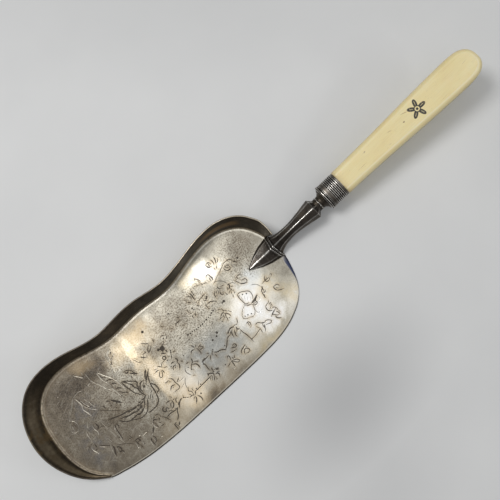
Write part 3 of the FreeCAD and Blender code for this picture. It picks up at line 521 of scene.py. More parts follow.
    (0.8, 0.9, '-25.5,20.5 -25.1,19.1 -24.0,18.5'),
    (0.8, 0.8, '-23.9,20.6 -24.1,19.2'),
    (1, 0.5, '-30.2,15.7 -29.1,16.4 -28.2,16.1 -28.0,14.2 -27.8,12.3'),
    (1, 0.5, '-28.8,14.6 -29.2,13.3 -29.2,12.0'),
    (1, 0.4, '-30.7,13.9 -30.6,13.0'),
    (1, 0.6, '-27.8,14.5 -27.6,13.0 -28.7,12.1'),
    (1, 0.5, '-35.4,19.9 -36.2,18.9'),
    (1, 0.5, '-35.6,19.6 -34.5,18.2 -34.0,16.5'),
    (1, 0.45, '-35.0,17.2 -34.8,16.1'),
    (0.8, 0.8, '-33.7,14.0 -32.7,13.7'),
    (1, 0.6, '-34.5,15.4 -34.5,14.7'),
    (0.7, 0.4, '-38.1,16.2 -35.8,15.1'),
    (1, 0.4, '-36.9,17.4 -36.7,16.2'),
    (1, 0.5, '-41.7,15.9 -41.9,14.5 -42.0,12.9'),
    (1, 0.7, '-43.3,15.6 -43.1,14.0 -43.4,12.3 -43.6,10.8'),
    (1, 0.5, '-45.8,15.4 -44.5,14.2 -44.1,12.8'),
    (1, 0.5, '-36.7,9.3 -38.8,9.2 -41.0,8.8'),
    (1, 0.4, '-42.2,8.5 -43.8,7.5'),
    (1, 1.1, '-37.7,7.1 -38.6,6.5'),
    (1, 0.7, '-39.9,6.5 -38.7,5.6'),
    (1, 0.6, '-39.4,3.9 -37.4,3.6 -35.5,2.0'),
    (0.7, 0.5, '-40.8,4.5 -41.0,3.0 -40.9,1.7'),
    (1, 0.6, '-50.9,9.0 -50.9,8.0'),
    (1, 0.5, '-50.4,6.8 -50.4,5.9'),
    (1, 0.6, '-48.6,4.7 -49.2,3.6'),
    (1, 0.6, '-51.0,5.1 -51.1,3.5'),
    (1, 0.8, '-58.0,10.2 -57.0,9.5'),
    (0.8, 0.8, '-60.5,7.8 -58.8,7.9 -58.0,7.9'),
    (1, 0.5, '-58.6,4.5 -57.6,4.0'),
    (0.7, 0.5, '-65.0,7.7 -63.6,7.2'),
    (0.8, 0.5, '-68.0,13.3 -68.0,12.0'),
    (0.8, 0.8, '-71.9,8.6 -70.5,7.8'),
    (1, 0.5, '-69.5,6.5 -70.3,5.5'),
    (0.6, 0.5, '-47.7,12.8 -46.6,11.0'),
    (1, 0.5, '-48.4,14.7 -47.7,14.1'),
    (1, 0.9, '-78.7,4.2 -77.4,3.3 -75.8,3.0'),
    (1, 1.1, '-74.7,4.4 -75.7,3.2 -76.9,1.3'),
    (1, 0.9, '-78.4,1.3 -76.6,-0.6'),
    (0.6, 0.5, '-72.7,5.5 -74.1,3.8'),
    (1, 0.55, '-87.2,-13.0 -86.0,-13.0 -85.3,-14.1'),
    (0.85, 0.55, '-84.2,-12.6 -83.4,-14.1 -83.4,-16.2 -83.1,-18.4 -83.3,-20.1 -84.5,-20.5 -86.4,-20.3 -87.6,-20.3'),
    (1, 0.85, '-88.1,-18.0 -87.3,-17.1 -85.9,-16.8 -84.7,-17.1'),
    (0.6, 0.7, '-87.4,-13.2 -86.4,-14.1'),
    (1, 0.9, '-80.5,-16.0 -81.7,-16.7'),
    (1, 0.4, '-86.9,-17.9 -85.6,-17.7'),
    (1, 0.8, '-97.6,-22.4 -98.8,-22.6 -99.2,-23.7 -98.8,-24.6 -97.9,-24.9 -97.3,-23.9 -96.6,-23.8 -96.1,-24.5'),
    (1, 0.45, '-98.4,-25.5 -96.9,-26.0 -94.9,-27.2'),
    (1, 0.75, '-99.8,-27.8 -98.3,-27.5 -96.1,-27.6 -94.1,-28.0 -93.0,-28.0'),
    (1, 0.7, '-95.2,-21.7 -94.1,-21.6 -92.5,-22.1'),
    (0.7, 0.7, '-91.6,-19.9 -91.0,-20.8'),
    (1, 0.75, '-91.7,-22.8 -92.1,-24.5 -93.5,-25.9 -94.8,-26.1'),
    (1, 0.5, '-92.4,-23.1 -93.8,-24.1 -94.7,-25.5'),
    (1, 0.65, '-88.5,-23.2 -89.8,-23.9 -90.3,-25.5'),
    (1, 0.5, '-89.6,-22.6 -91.1,-22.9'),
    (1, 0.9, '-86.8,-25.5 -88.4,-26.0 -89.8,-27.0 -91.2,-28.8'),
    (1, 0.8, '-89.3,-25.9 -90.6,-27.1'),
    (1, 0.75, '-91.7,-27.8 -93.3,-29.1 -94.4,-31.1 -96.4,-32.8'),
    (0.8, 0.7, '-93.0,-27.5 -92.3,-28.1'),
    (1, 0.8, '-99.5,-33.4 -99.5,-35.1 -99.6,-36.7'),
    (1, 1.1, '-96.6,-34.6 -97.4,-35.3'),
    (1, 0.6, '-98.5,-34.9 -98.4,-36.2'),
    (1, 0.6, '-99.4,-33.8 -98.4,-33.4'),
    (1, 0.5, '-86.9,-25.5 -85.6,-26.2 -83.2,-28.0'),
    (1, 0.6, '-85.3,-25.2 -85.8,-26.1'),
    (1, 0.8, '-82.7,-28.3 -81.7,-28.3 -80.7,-28.6'),
    (0.8, 0.9, '-82.0,-26.8 -81.5,-27.5'),
    (0.7, 0.55, '-80.6,-29.7 -82.0,-30.8'),
    (1, 0.8, '-80.1,-30.2 -80.7,-31.6 -82.3,-33.2'),
    (1, 0.75, '-78.8,-30.6 -78.3,-31.8 -78.1,-33.2 -78.5,-34.4'),
    (1, 0.75, '-78.2,-27.7 -79.3,-29.1'),
    (1, 0.5, '-78.6,-25.5 -79.0,-26.7'),
    (1, 0.5, '-80.0,-23.8 -81.0,-25.2 -80.0,-26.5 -80.0,-27.8'),
    (0.5, 0.4, '-77.5,-18.5 -79.1,-20.1 -80.2,-22.2 -80.5,-23.9'),
    (0.4, 0.4, '-77.9,-17.4 -79.5,-17.8 -80.6,-17.7'),
    (0.4, 0.4, '-79.8,-20.3 -81.7,-20.7 -83.4,-21.2'),
    (0.7, 0.8, '-73.2,-20.5 -72.5,-21.1'),
    (0.5, 0.35, '-73.1,-24.8 -75.0,-27.0'),
    (1, 0.45, '-91.0,0.8 -92.4,-0.2 -93.6,-1.4 -94.8,-3.1'),
    (1, 0.7, '-91.3,0.3 -92.9,-1.7 -94.5,-3.6 -95.7,-5.3'),
    (1, 0.5, '-89.8,-0.6 -91.4,-1.5 -93.0,-2.8 -94.6,-4.4'),
    (1, 0.65, '-90.8,-1.2 -92.5,-3.1 -93.5,-4.9 -94.3,-6.8'),
    (1, 0.75, '-96.2,-3.4 -97.5,-3.0 -98.8,-3.5 -100.0,-4.7 -100.7,-6.0 -100.7,-7.1 -100.6,-7.9'),
    (0.5, 0.35, '-98.6,-5.2 -97.7,-4.6 -96.7,-4.8 -96.3,-6.0 -96.7,-6.9'),
    (1, 1.5, '-98.4,-6.1 -97.7,-5.8'),
    (1, 0.8, '-94.3,-6.8 -94.8,-8.7 -95.1,-11.1 -95.8,-13.9'),
    (1, 0.7, '-94.3,-6.8 -93.6,-8.2 -92.8,-9.8 -92.7,-11.8 -93.2,-13.2 -94.2,-13.5 -95.4,-13.9'),
    (1, 0.8, '-95.8,-13.9 -96.2,-15.4 -96.9,-17.0 -98.5,-18.3 -100.2,-19.0 -102.3,-19.1 -104.2,-19.1 -106.1,-18.6'),
    (0.55, 0.5, '-98.3,-11.6 -100.1,-13.7'),
    (0.55, 0.5, '-97.8,-12.8 -99.1,-14.7'),
    (0.55, 0.5, '-99.9,-15.0 -101.0,-16.1'),
    (0.55, 0.5, '-99.9,-11.7 -101.1,-12.9'),
    (0.55, 0.5, '-96.5,-10.1 -97.1,-11.2'),
    (1, 0.7, '-101.6,-12.6 -102.7,-14.4 -104.2,-16.0 -105.7,-17.4 -107.1,-18.0 -109.2,-18.3 -111.3,-18.0 -113.2,-17.1 -115.0,-15.8'),
    (1, 0.9, '-100.8,-10.2 -102.3,-11.0 -103.7,-10.9'),
    (0.7, 0.7, '-101.8,-10.7 -103.2,-11.7 -104.1,-13.1 -105.3,-14.4'),
    (1, 1, '-103.8,-10.7 -103.2,-11.0'),
    (1, 1, '-105.1,-11.9 -104.5,-12.0'),
    (1, 1, '-106.3,-10.9 -105.9,-11.0'),
    (1, 1, '-106.0,-11.9 -105.5,-12.1'),
    (1, 1, '-107.9,-11.7 -107.4,-11.8'),
    (1, 1.6, '-107.6,-13.3 -106.8,-13.6'),
    (1, 1.2, '-109.5,-13.4 -108.9,-13.6'),
    (1, 1, '-106.5,-12.3 -106.4,-13.0'),
    (1, 1.1, '-106.3,-14.9 -108.0,-15.6 -109.8,-15.9 -111.3,-15.7'),
    (1, 1, '-109.6,-14.1 -111.9,-13.1 -113.8,-12.6 -115.2,-12.4 -117.0,-11.9 -118.3,-11.9'),
    (1, 0.8, '-110.4,-15.3 -112.6,-15.2 -114.2,-15.2 -116.1,-15.0'),
    (1, 1.1, '-110.2,-13.8 -111.3,-13.4'),
    (1, 0.7, '-115.0,-15.7 -117.0,-14.9 -119.0,-13.7 -120.5,-12.0 -121.3,-10.7'),
    (1, 0.7, '-108.0,-11.4 -110.5,-11.1 -112.7,-10.5 -114.7,-9.8 -117.0,-9.3 -119.5,-8.7 -121.1,-7.9'),
    (1, 0.9, '-120.7,-8.3 -122.9,-7.3 -125.4,-6.4'),
    (1, 0.5, '-113.4,-10.9 -115.3,-10.0 -118.2,-9.4'),
    (1, 0.6, '-116.8,-11.3 -119.1,-10.8 -120.0,-10.4'),
    (1, 0.9, '-113.8,-15.2 -115.7,-15.0'),
    (1, 0.6, '-109.2,-11.8 -111.6,-11.4 -113.9,-11.1'),
    (1, 0.8, '-100.7,-10.1 -101.5,-8.3 -101.8,-6.1 -101.7,-4.3 -102.4,-2.9 -102.5,-1.3'),
    (1, 0.8, '-102.6,-1.6 -102.9,-0.1 -103.9,1.2'),
    (1, 0.8, '-103.9,1.7 -104.4,2.7 -105.3,3.7'),
    (1, 1.2, '-102.9,-1.3 -102.4,-2.2'),
    (1, 0.7, '-106.3,4.5 -104.3,3.6 -102.2,1.6 -100.1,-0.4 -99.6,-1.7 -100.6,-2.6 -100.7,-4.1 -100.0,-4.7'),
    (1, 0.75, '-106.3,4.3 -106.0,2.2 -105.8,0.2 -105.2,-2.2 -104.7,-4.6 -103.5,-6.8 -102.5,-8.3'),
    (0.8, 0.6, '-102.0,-4.1 -101.1,-4.6 -101.2,-5.4'),
    (-1, 0.7, '-113.5,18.4 -113.5,16.2 -113.6,13.9 -112.4,10.1 -112.0,7.9 -112.0,4.4 -111.6,1.4 -111.3,-0.9'),
    (-1, 0.75, '-112.9,18.3 -111.3,14.9 -109.5,11.7 -108.1,8.5 -107.5,6.0 -107.1,3.0 -106.7,0.7'),
    (1, 0.6, '-112.9,15.3 -112.4,13.6 -111.3,12.9'),
    (1, 0.6, '-111.0,10.7 -109.7,10.1 -108.6,8.6'),
    (1, 0.8, '-111.3,7.5 -110.1,7.4 -108.8,5.8'),
    (1, 0.8, '-111.0,4.0 -109.8,3.5 -108.4,1.9'),
    (1, 0.5, '-111.6,7.5 -112.1,6.5 -111.9,5.0'),
    (1, 0.6, '-106.9,4.6 -105.3,4.1'),
    (1, 0.6, '-110.9,1.8 -109.2,-0.3'),
    (1, 0.7, '-109.8,-0.3 -108.4,-1.0 -107.2,-2.3'),
    (1, 0.5, '-111.2,-0.7 -110.6,-2.2'),
    (0.6, 0.45, '-109.8,-2.6 -108.5,-2.8'),
    (0.8, 0.4, '-125.8,1.1 -122.4,-2.1 -120.4,-4.1 -117.4,-6.7'),
    (0.9, 1.4, '-117.0,0.7 -115.6,-1.3 -114.0,-3.4'),
    (0.8, 1, '-119.7,2.7 -118.8,1.6'),
    (1, 0.8, '-115.9,-2.0 -116.1,-2.7'),
    (1, 0.8, '-114.7,-3.7 -115.2,-4.6'),
    (0.8, 0.6, '-119.2,-1.1 -118.9,-1.7'),
    (1, 0.6, '-122.7,0.5 -122.7,-0.0'),
    (1, 0.6, '-117.9,-3.8 -117.7,-4.3'),
    (-0.7, 1.1, '-132.1,15.4 -131.5,12.0 -131.6,10.2 -132.5,8.3 -132.1,6.1 -131.5,3.2'),
    (-0.7, 0.6, '-130.5,13.1 -129.9,9.5 -128.6,6.6'),
    (-0.8, 0.6, '-128.3,12.2 -127.5,8.7 -126.9,5.8'),
    (-0.9, 0.8, '-127.4,9.8 -127.2,7.2'),
    (-0.6, 0.5, '-131.9,16.9 -130.0,17.2 -127.4,17.1 -125.9,16.1'),
    (-0.6, 0.45, '-133.0,16.5 -135.1,14.5 -137.7,12.4 -140.6,10.4'),
    (-0.6, 0.4, '-137.8,20.1 -140.2,18.4'),
    (0.6, 0.5, '-130.8,12.0 -130.2,9.2 -129.7,7.1'),
    (0.6, 0.5, '-127.9,10.4 -127.6,7.8'),
    (0.6, 0.5, '-131.4,14.7 -131.0,13.1'),
    (-0.8, 0.7, '-122.1,16.2 -119.3,16.6'),
    (-0.8, 0.5, '-118.3,17.9 -117.9,15.2 -116.7,12.2 -115.8,9.8 -114.4,6.9'),
    (-0.7, 0.5, '-118.6,23.2 -118.6,20.5 -118.7,17.8 -118.9,15.7'),
    (-0.9, 0.9, '-124.0,25.8 -122.2,23.4 -120.8,21.3'),
    (-0.8, 0.5, '-119.7,25.0 -120.0,22.4'),
    (-0.6, 0.4, '-122.9,29.3 -120.9,28.4'),
    (0.6, 0.5, '-118.2,17.1 -117.8,15.3'),
    (-0.9, 0.9, '-100.1,23.1 -101.8,22.0 -102.3,19.7 -102.4,17.8'),
    (-0.9, 0.65, '-103.0,21.6 -103.5,18.8 -104.3,17.0 -105.0,14.5 -105.7,12.8 -106.8,10.7 -107.7,8.8'),
    (-0.9, 0.75, '-98.1,19.5 -100.4,18.8 -102.4,17.4'),
    (-0.7, 0.55, '-99.0,11.2 -101.8,10.7 -104.4,10.4 -106.6,9.3'),
    (1, 0.8, '-103.0,16.9 -103.3,16.2'),
    (1, 0.6, '-99.0,21.8 -100.2,20.8'),
    (1, 0.6, '-99.6,19.1 -101.1,18.6'),
    (1, 0.55, '-100.9,7.9 -99.4,7.4 -97.7,5.8 -97.1,3.8 -96.7,2.5'),
    (1, 0.9, '-100.8,7.2 -100.5,6.2 -99.2,6.5'),
    (0.8, 0.85, '-99.3,4.8 -97.9,3.8 -96.3,2.0'),
    (1, 0.5, '-98.3,3.3 -97.3,1.7'),
    (1, 0.7, '-99.7,3.3 -100.0,2.4'),
    (0.6, 0.4, '-92.8,9.4 -92.0,7.8 -91.6,6.5 -90.1,5.4'),
    (0.6, 0.5, '-91.6,9.5 -91.0,8.0'),
    (1, 0.6, '-104.5,-22.4 -103.2,-22.7 -102.2,-23.4'),
    (1, 0.6, '-102.3,-24.6 -102.4,-25.3'),
    (0.8, 0.55, '-102.0,-25.6 -100.9,-26.9 -100.1,-28.6 -99.6,-30.2'),
    (1, 0.8, '-107.6,-24.4 -107.0,-23.7 -106.0,-24.1 -105.2,-25.0'),
    (0.8, 0.8, '-103.6,-24.8 -104.0,-25.8'),
    (1, 0.6, '-105.2,-26.7 -104.6,-27.7'),
    (1, 0.6, '-107.4,-25.1 -106.9,-26.0'),
    (1, 0.6, '-106.0,-29.2 -104.6,-29.3 -103.8,-29.2'),
    (0.7, 0.5, '-107.3,-27.2 -107.0,-28.7'),
    (-0.8, 0.6, '-108.8,-25.1 -107.4,-23.4 -106.2,-22.9'),
    (1, 1, '-109.3,-26.5 -110.5,-27.7 -111.5,-28.7'),
    (-1, 0.8, '-112.0,-28.5 -112.8,-29.8'),
    (1, 0.7, '-112.9,-30.3 -112.4,-31.6 -112.9,-33.1'),
    (1, 0.9, '-114.5,-30.3 -115.1,-31.5'),
    (-1, 0.9, '-115.4,-31.0 -115.9,-32.5 -116.0,-34.4'),
    (1, 0.7, '-115.1,-32.0 -115.1,-33.3 -115.2,-34.7'),
    (1, 0.5, '-113.2,-31.6 -113.7,-33.5'),
    (-0.7, 0.5, '-112.8,-26.0 -114.2,-25.9 -115.7,-25.9 -117.8,-26.0'),
    (1, 0.6, '-113.9,-26.0 -113.1,-25.9'),
    (1, 0.7, '-122.4,-25.1 -120.5,-25.2 -118.8,-25.6'),
    (1, 0.6, '-121.9,-25.5 -121.8,-27.1 -121.7,-28.4'),
    (1, 0.9, '-120.2,-25.6 -119.8,-27.0 -121.0,-26.7'),
    (-1, 0.6, '-122.0,-29.0 -122.7,-30.6'),
    (-1, 0.6, '-122.4,-26.9 -123.1,-29.0'),
    (-1, 0.6, '-119.2,-27.9 -119.2,-30.3'),
    (1, 0.4, '-123.9,-26.0 -126.3,-23.5 -129.0,-21.5 -131.4,-19.9'),
    (0.8, 0.5, '-139.0,-13.6 -134.3,-17.6'),
    (-0.5, 0.35, '-139.7,-13.6 -136.7,-16.3'),
    (1, 1, '-133.4,-18.7 -133.9,-20.5 -134.7,-22.1 -135.4,-23.8'),
    (-0.9, 0.6, '-135.0,-19.6 -135.6,-22.0 -135.9,-23.7'),
    (1, 0.9, '-132.5,-20.5 -131.2,-21.4 -130.9,-22.8 -131.2,-24.0'),
    (1, 0.9, '-133.0,-22.8 -132.6,-23.8 -131.2,-24.4 -130.8,-25.7'),
    (-0.9, 0.6, '-132.6,-21.3 -132.8,-23.0 -133.4,-24.2'),
    (-0.8, 0.5, '-131.3,-24.9 -131.4,-26.4'),
    (-0.7, 0.6, '-133.8,-16.8 -134.8,-19.0'),
    (1, 0.5, '-125.4,-11.7 -125.8,-13.3 -126.0,-15.4 -126.4,-17.7 -126.6,-19.8'),
    (1, 0.7, '-123.7,-11.2 -123.6,-12.1 -124.0,-13.2'),
    (-0.9, 0.55, '-125.3,-10.6 -126.1,-12.6 -126.4,-14.3 -126.8,-16.9 -127.1,-19.5'),
    (-0.8, 0.45, '-124.3,-11.2 -124.7,-12.9'),
    (1, 0.9, '-125.1,-11.2 -125.2,-11.7'),
    (-0.7, 0.45, '-128.7,-12.0 -128.6,-14.5 -128.4,-17.0'),
    (1, 0.7, '-127.7,-17.4 -127.7,-18.0'),
    (-0.9, 0.75, '-134.7,-2.4 -135.0,-4.9 -134.6,-7.1 -135.5,-8.6'),
    (0.9, 0.9, '-132.5,-2.5 -132.5,-3.8 -132.5,-5.3 -134.1,-5.8'),
    (0.6, 0.6, '-131.6,-6.2 -130.5,-6.4'),
    (-0.7, 0.5, '-136.7,0.1 -137.9,-2.3'),
    (-0.7, 0.5, '-139.5,-2.6 -140.3,-4.9 -140.4,-7.2'),
    (1, 0.9, '-140.6,-11.4 -140.7,-13.0'),
    (1, 0.9, '-142.1,-13.8 -141.2,-14.1'),
    (-0.9, 0.8, '-142.3,-10.6 -143.2,-12.0 -142.9,-13.8 -142.3,-15.9'),
    (-0.7, 0.5, '-144.3,-9.4 -146.1,-10.7'),
    (1, 0.6, '-142.1,-9.3 -142.2,-10.0'),
    (-0.6, 0.5, '-141.1,-8.2 -140.8,-9.4'),
    (0.6, 0.5, '-143.6,-9.4 -144.1,-10.7'),
    (-0.7, 0.5, '-133.0,-13.0 -132.5,-15.1 -132.4,-16.8'),
    (0.6, 0.5, '-124.8,-21.9 -122.2,-22.6'),
    (0.6, 0.45, '-122.6,-22.3 -122.6,-20.7'),
    (-0.9, 0.6, '-99.3,23.1 -101.4,22.0 -102.5,19.9 -102.8,17.8'),
    (-0.8, 0.45, '-102.9,22.5 -103.9,19.6 -103.8,17.2 -105.2,14.7 -106.5,12.0 -107.7,9.7'),
    (-0.7, 0.38, '-107.4,9.3 -104.2,10.6 -101.8,10.7 -98.2,11.3'),
    (-0.8, 0.35, '-100.8,18.7 -97.9,19.5'),
    (-0.9, 0.5, '-112.4,10.5 -112.5,8.3 -112.5,5.6 -112.3,3.2'),
    (-1, 0.6, '-107.6,7.7 -107.4,5.0 -106.9,2.4 -106.2,-0.2'),
    (-0.6, 0.42, '-118.6,17.4 -118.3,15.6 -116.8,13.0 -115.6,10.0 -114.4,7.0 -112.7,4.5'),
    (-0.8, 0.5, '-119.5,24.8 -120.0,22.5'),
    (-0.8, 0.5, '-121.8,16.5 -120.1,16.5'),
    (-0.6, 0.42, '-131.4,16.9 -132.8,16.7 -134.9,15.2 -137.2,13.4 -139.7,11.9 -142.1,9.6'),
    (-0.6, 0.4, '-142.2,8.2 -140.7,6.0 -140.5,3.6 -141.2,1.9 -142.7,1.1 -144.7,1.4 -145.6,3.0 -144.7,5.1 -143.0,7.0'),
    (-0.8, 0.6, '-143.5,5.4 -144.1,3.0'),
    (0.7, 0.4, '-142.2,6.0 -141.9,2.9'),
    (-0.7, 0.5, '-135.0,1.2 -136.5,-0.1 -137.3,-2.4'),
    (-0.6, 0.5, '-139.7,-3.3 -140.3,-5.7 -140.5,-7.7'),
    (-0.7, 0.5, '-138.3,19.8 -140.1,18.4'),
    (-0.5, 0.38, '-139.5,20.9 -142.0,20.2'),
    (-0.5, 0.35, '-135.3,23.9 -138.6,23.2'),
    (-0.5, 0.4, '-119.2,9.9 -121.2,8.0 -121.7,5.7'),
    (-0.5, 0.32, '-132.2,12.9 -131.3,9.6 -129.4,5.7 -126.4,2.2'),
    (0.5, 0.32, '-130.0,10.2 -128.8,7.3 -126.8,4.3'),
    (-0.8, 0.45, '-127.6,-16.9 -127.6,-19.5 -127.1,-21.9'),
    (-1, 0.5, '-125.8,-10.7 -126.5,-12.6 -127.1,-14.8 -127.4,-16.7'),
    (-0.7, 0.38, '-129.0,-11.6 -129.0,-14.5 -128.8,-16.9'),
    (-1, 0.6, '-115.4,-30.7 -116.1,-32.5 -116.3,-34.1'),
    (-0.9, 0.42, '-113.3,-30.8 -113.6,-32.5 -113.8,-34.4'),
    (-1, 0.55, '-134.5,-18.2 -135.2,-20.1 -135.7,-22.3 -136.0,-23.9'),
    (-1, 0.5, '-132.4,-20.1 -133.0,-21.9 -133.5,-23.6'),
    (-1, 0.6, '-122.6,-25.5 -122.8,-27.1 -123.4,-28.7'),
    (-0.9, 0.45, '-119.2,-24.4 -117.3,-25.0'),
    (-1, 0.7, '-119.7,-28.2 -119.6,-30.2'),
    (0.9, 0.45, '-121.3,-30.7 -121.1,-29.1'),
    (-1, 0.7, '-106.9,-22.7 -108.2,-24.5 -108.4,-26.7 -107.7,-28.6'),
    (-0.8, 0.38, '-110.4,-26.2 -112.4,-28.2'),
    (-0.8, 0.5, '-110.0,-33.6 -108.2,-33.6'),
    (-0.5, 0.3, '-129.7,-4.1 -129.4,-7.3 -128.9,-10.1'),
    (0.5, 0.3, '-130.6,-4.3 -130.3,-7.4'),
    (-0.5, 0.3, '-107.8,21.3 -110.8,20.6'),
    (-0.5, 0.3, '-110.2,26.5 -108.8,24.7 -106.3,23.9'),
)
PUNCHES = (
    (-21.3, -5.8, 0.42, 1),
    (-19.3, -7.0, 0.45, 1),
    (-23.2, -5.1, 0.35, 0.6),
    (-26.9, -16.5, 0.45, 1),
    (-25.0, -17.4, 0.42, 1),
    (-28.6, -16.0, 0.4, 0.5),
    (-31.9, -1.3, 0.8, 1),
    (-33.1, -1.4, 0.5, 1),
    (-40.0, -1.0, 0.5, 1),
    (-41.5, -1.5, 0.5, 1),
    (-43.0, -2.0, 0.48, 1),
    (-44.6, -2.1, 0.42, 1),
    (-46.3, -2.3, 0.52, 1),
    (-48.0, -2.3, 0.42, 1),
    (-49.6, -2.6, 0.52, 1),
    (-51.2, -2.6, 0.48, 1),
    (-52.7, -2.5, 0.42, 1),
    (-54.2, -2.4, 0.42, 1),
    (-55.5, -2.2, 0.4, 1),
    (-56.8, -1.9, 0.42, 1),
    (-58.3, -1.9, 0.5, 1),
    (-60.0, -1.5, 0.55, 1),
    (-61.3, -4.0, 0.35, 0.6),
    (-64.5, 0.2, 0.45, 0.5),
    (-46.9, -11.8, 0.78, 1),
    (-48.4, -13.2, 0.6, 1),
    (-51.5, -13.3, 0.62, 1),
    (-45.2, -6.1, 0.35, 0.5),
    (-48.6, -20.3, 0.4, 0.7),
    (-76.1, 2.8, 1.55, 1),
    (-78.3, 3.8, 0.8, 0.7),
    (-78.2, 17.6, 0.85, 1),
    (-39.7, -29.1, 0.3, 0.8),
    (-55.6, -28.5, 0.4, 0.8),
    (-35.8, -10.5, 0.4, 0.8),
    (-66.5, -25.5, 0.4, 0.9),
    (-72.3, -15.2, 0.4, 0.8),
    (-66.1, -16.2, 0.45, 1),
    (-78.4, -4.2, 0.45, 0.9),
    (-79.1, -8.2, 0.4, 0.7),
    (-71.7, 6.7, 0.45, 0.9),
    (-47.9, 8.0, 0.45, 0.9),
    (-47.9, 6.9, 0.42, 0.9),
    (-60.3, 15.2, 0.5, 0.9),
    (-38.2, 6.8, 0.6, 1),
    (-69.8, -8.4, 0.4, 0.7),
    (-65.3, -8.2, 0.35, 0.6),
    (-98.0, -6.0, 0.7, 1),
    (-76.8, -27.1, 0.45, 0.8),
    (-73.5, -27.0, 0.45, 0.8),
    (-76.7, -30.9, 0.5, 0.8),
    (-105.5, -22.6, 0.4, 0.8),
    (-113.9, -33.6, 0.4, 0.8),
    (-119.3, -30.0, 0.4, 0.8),
)


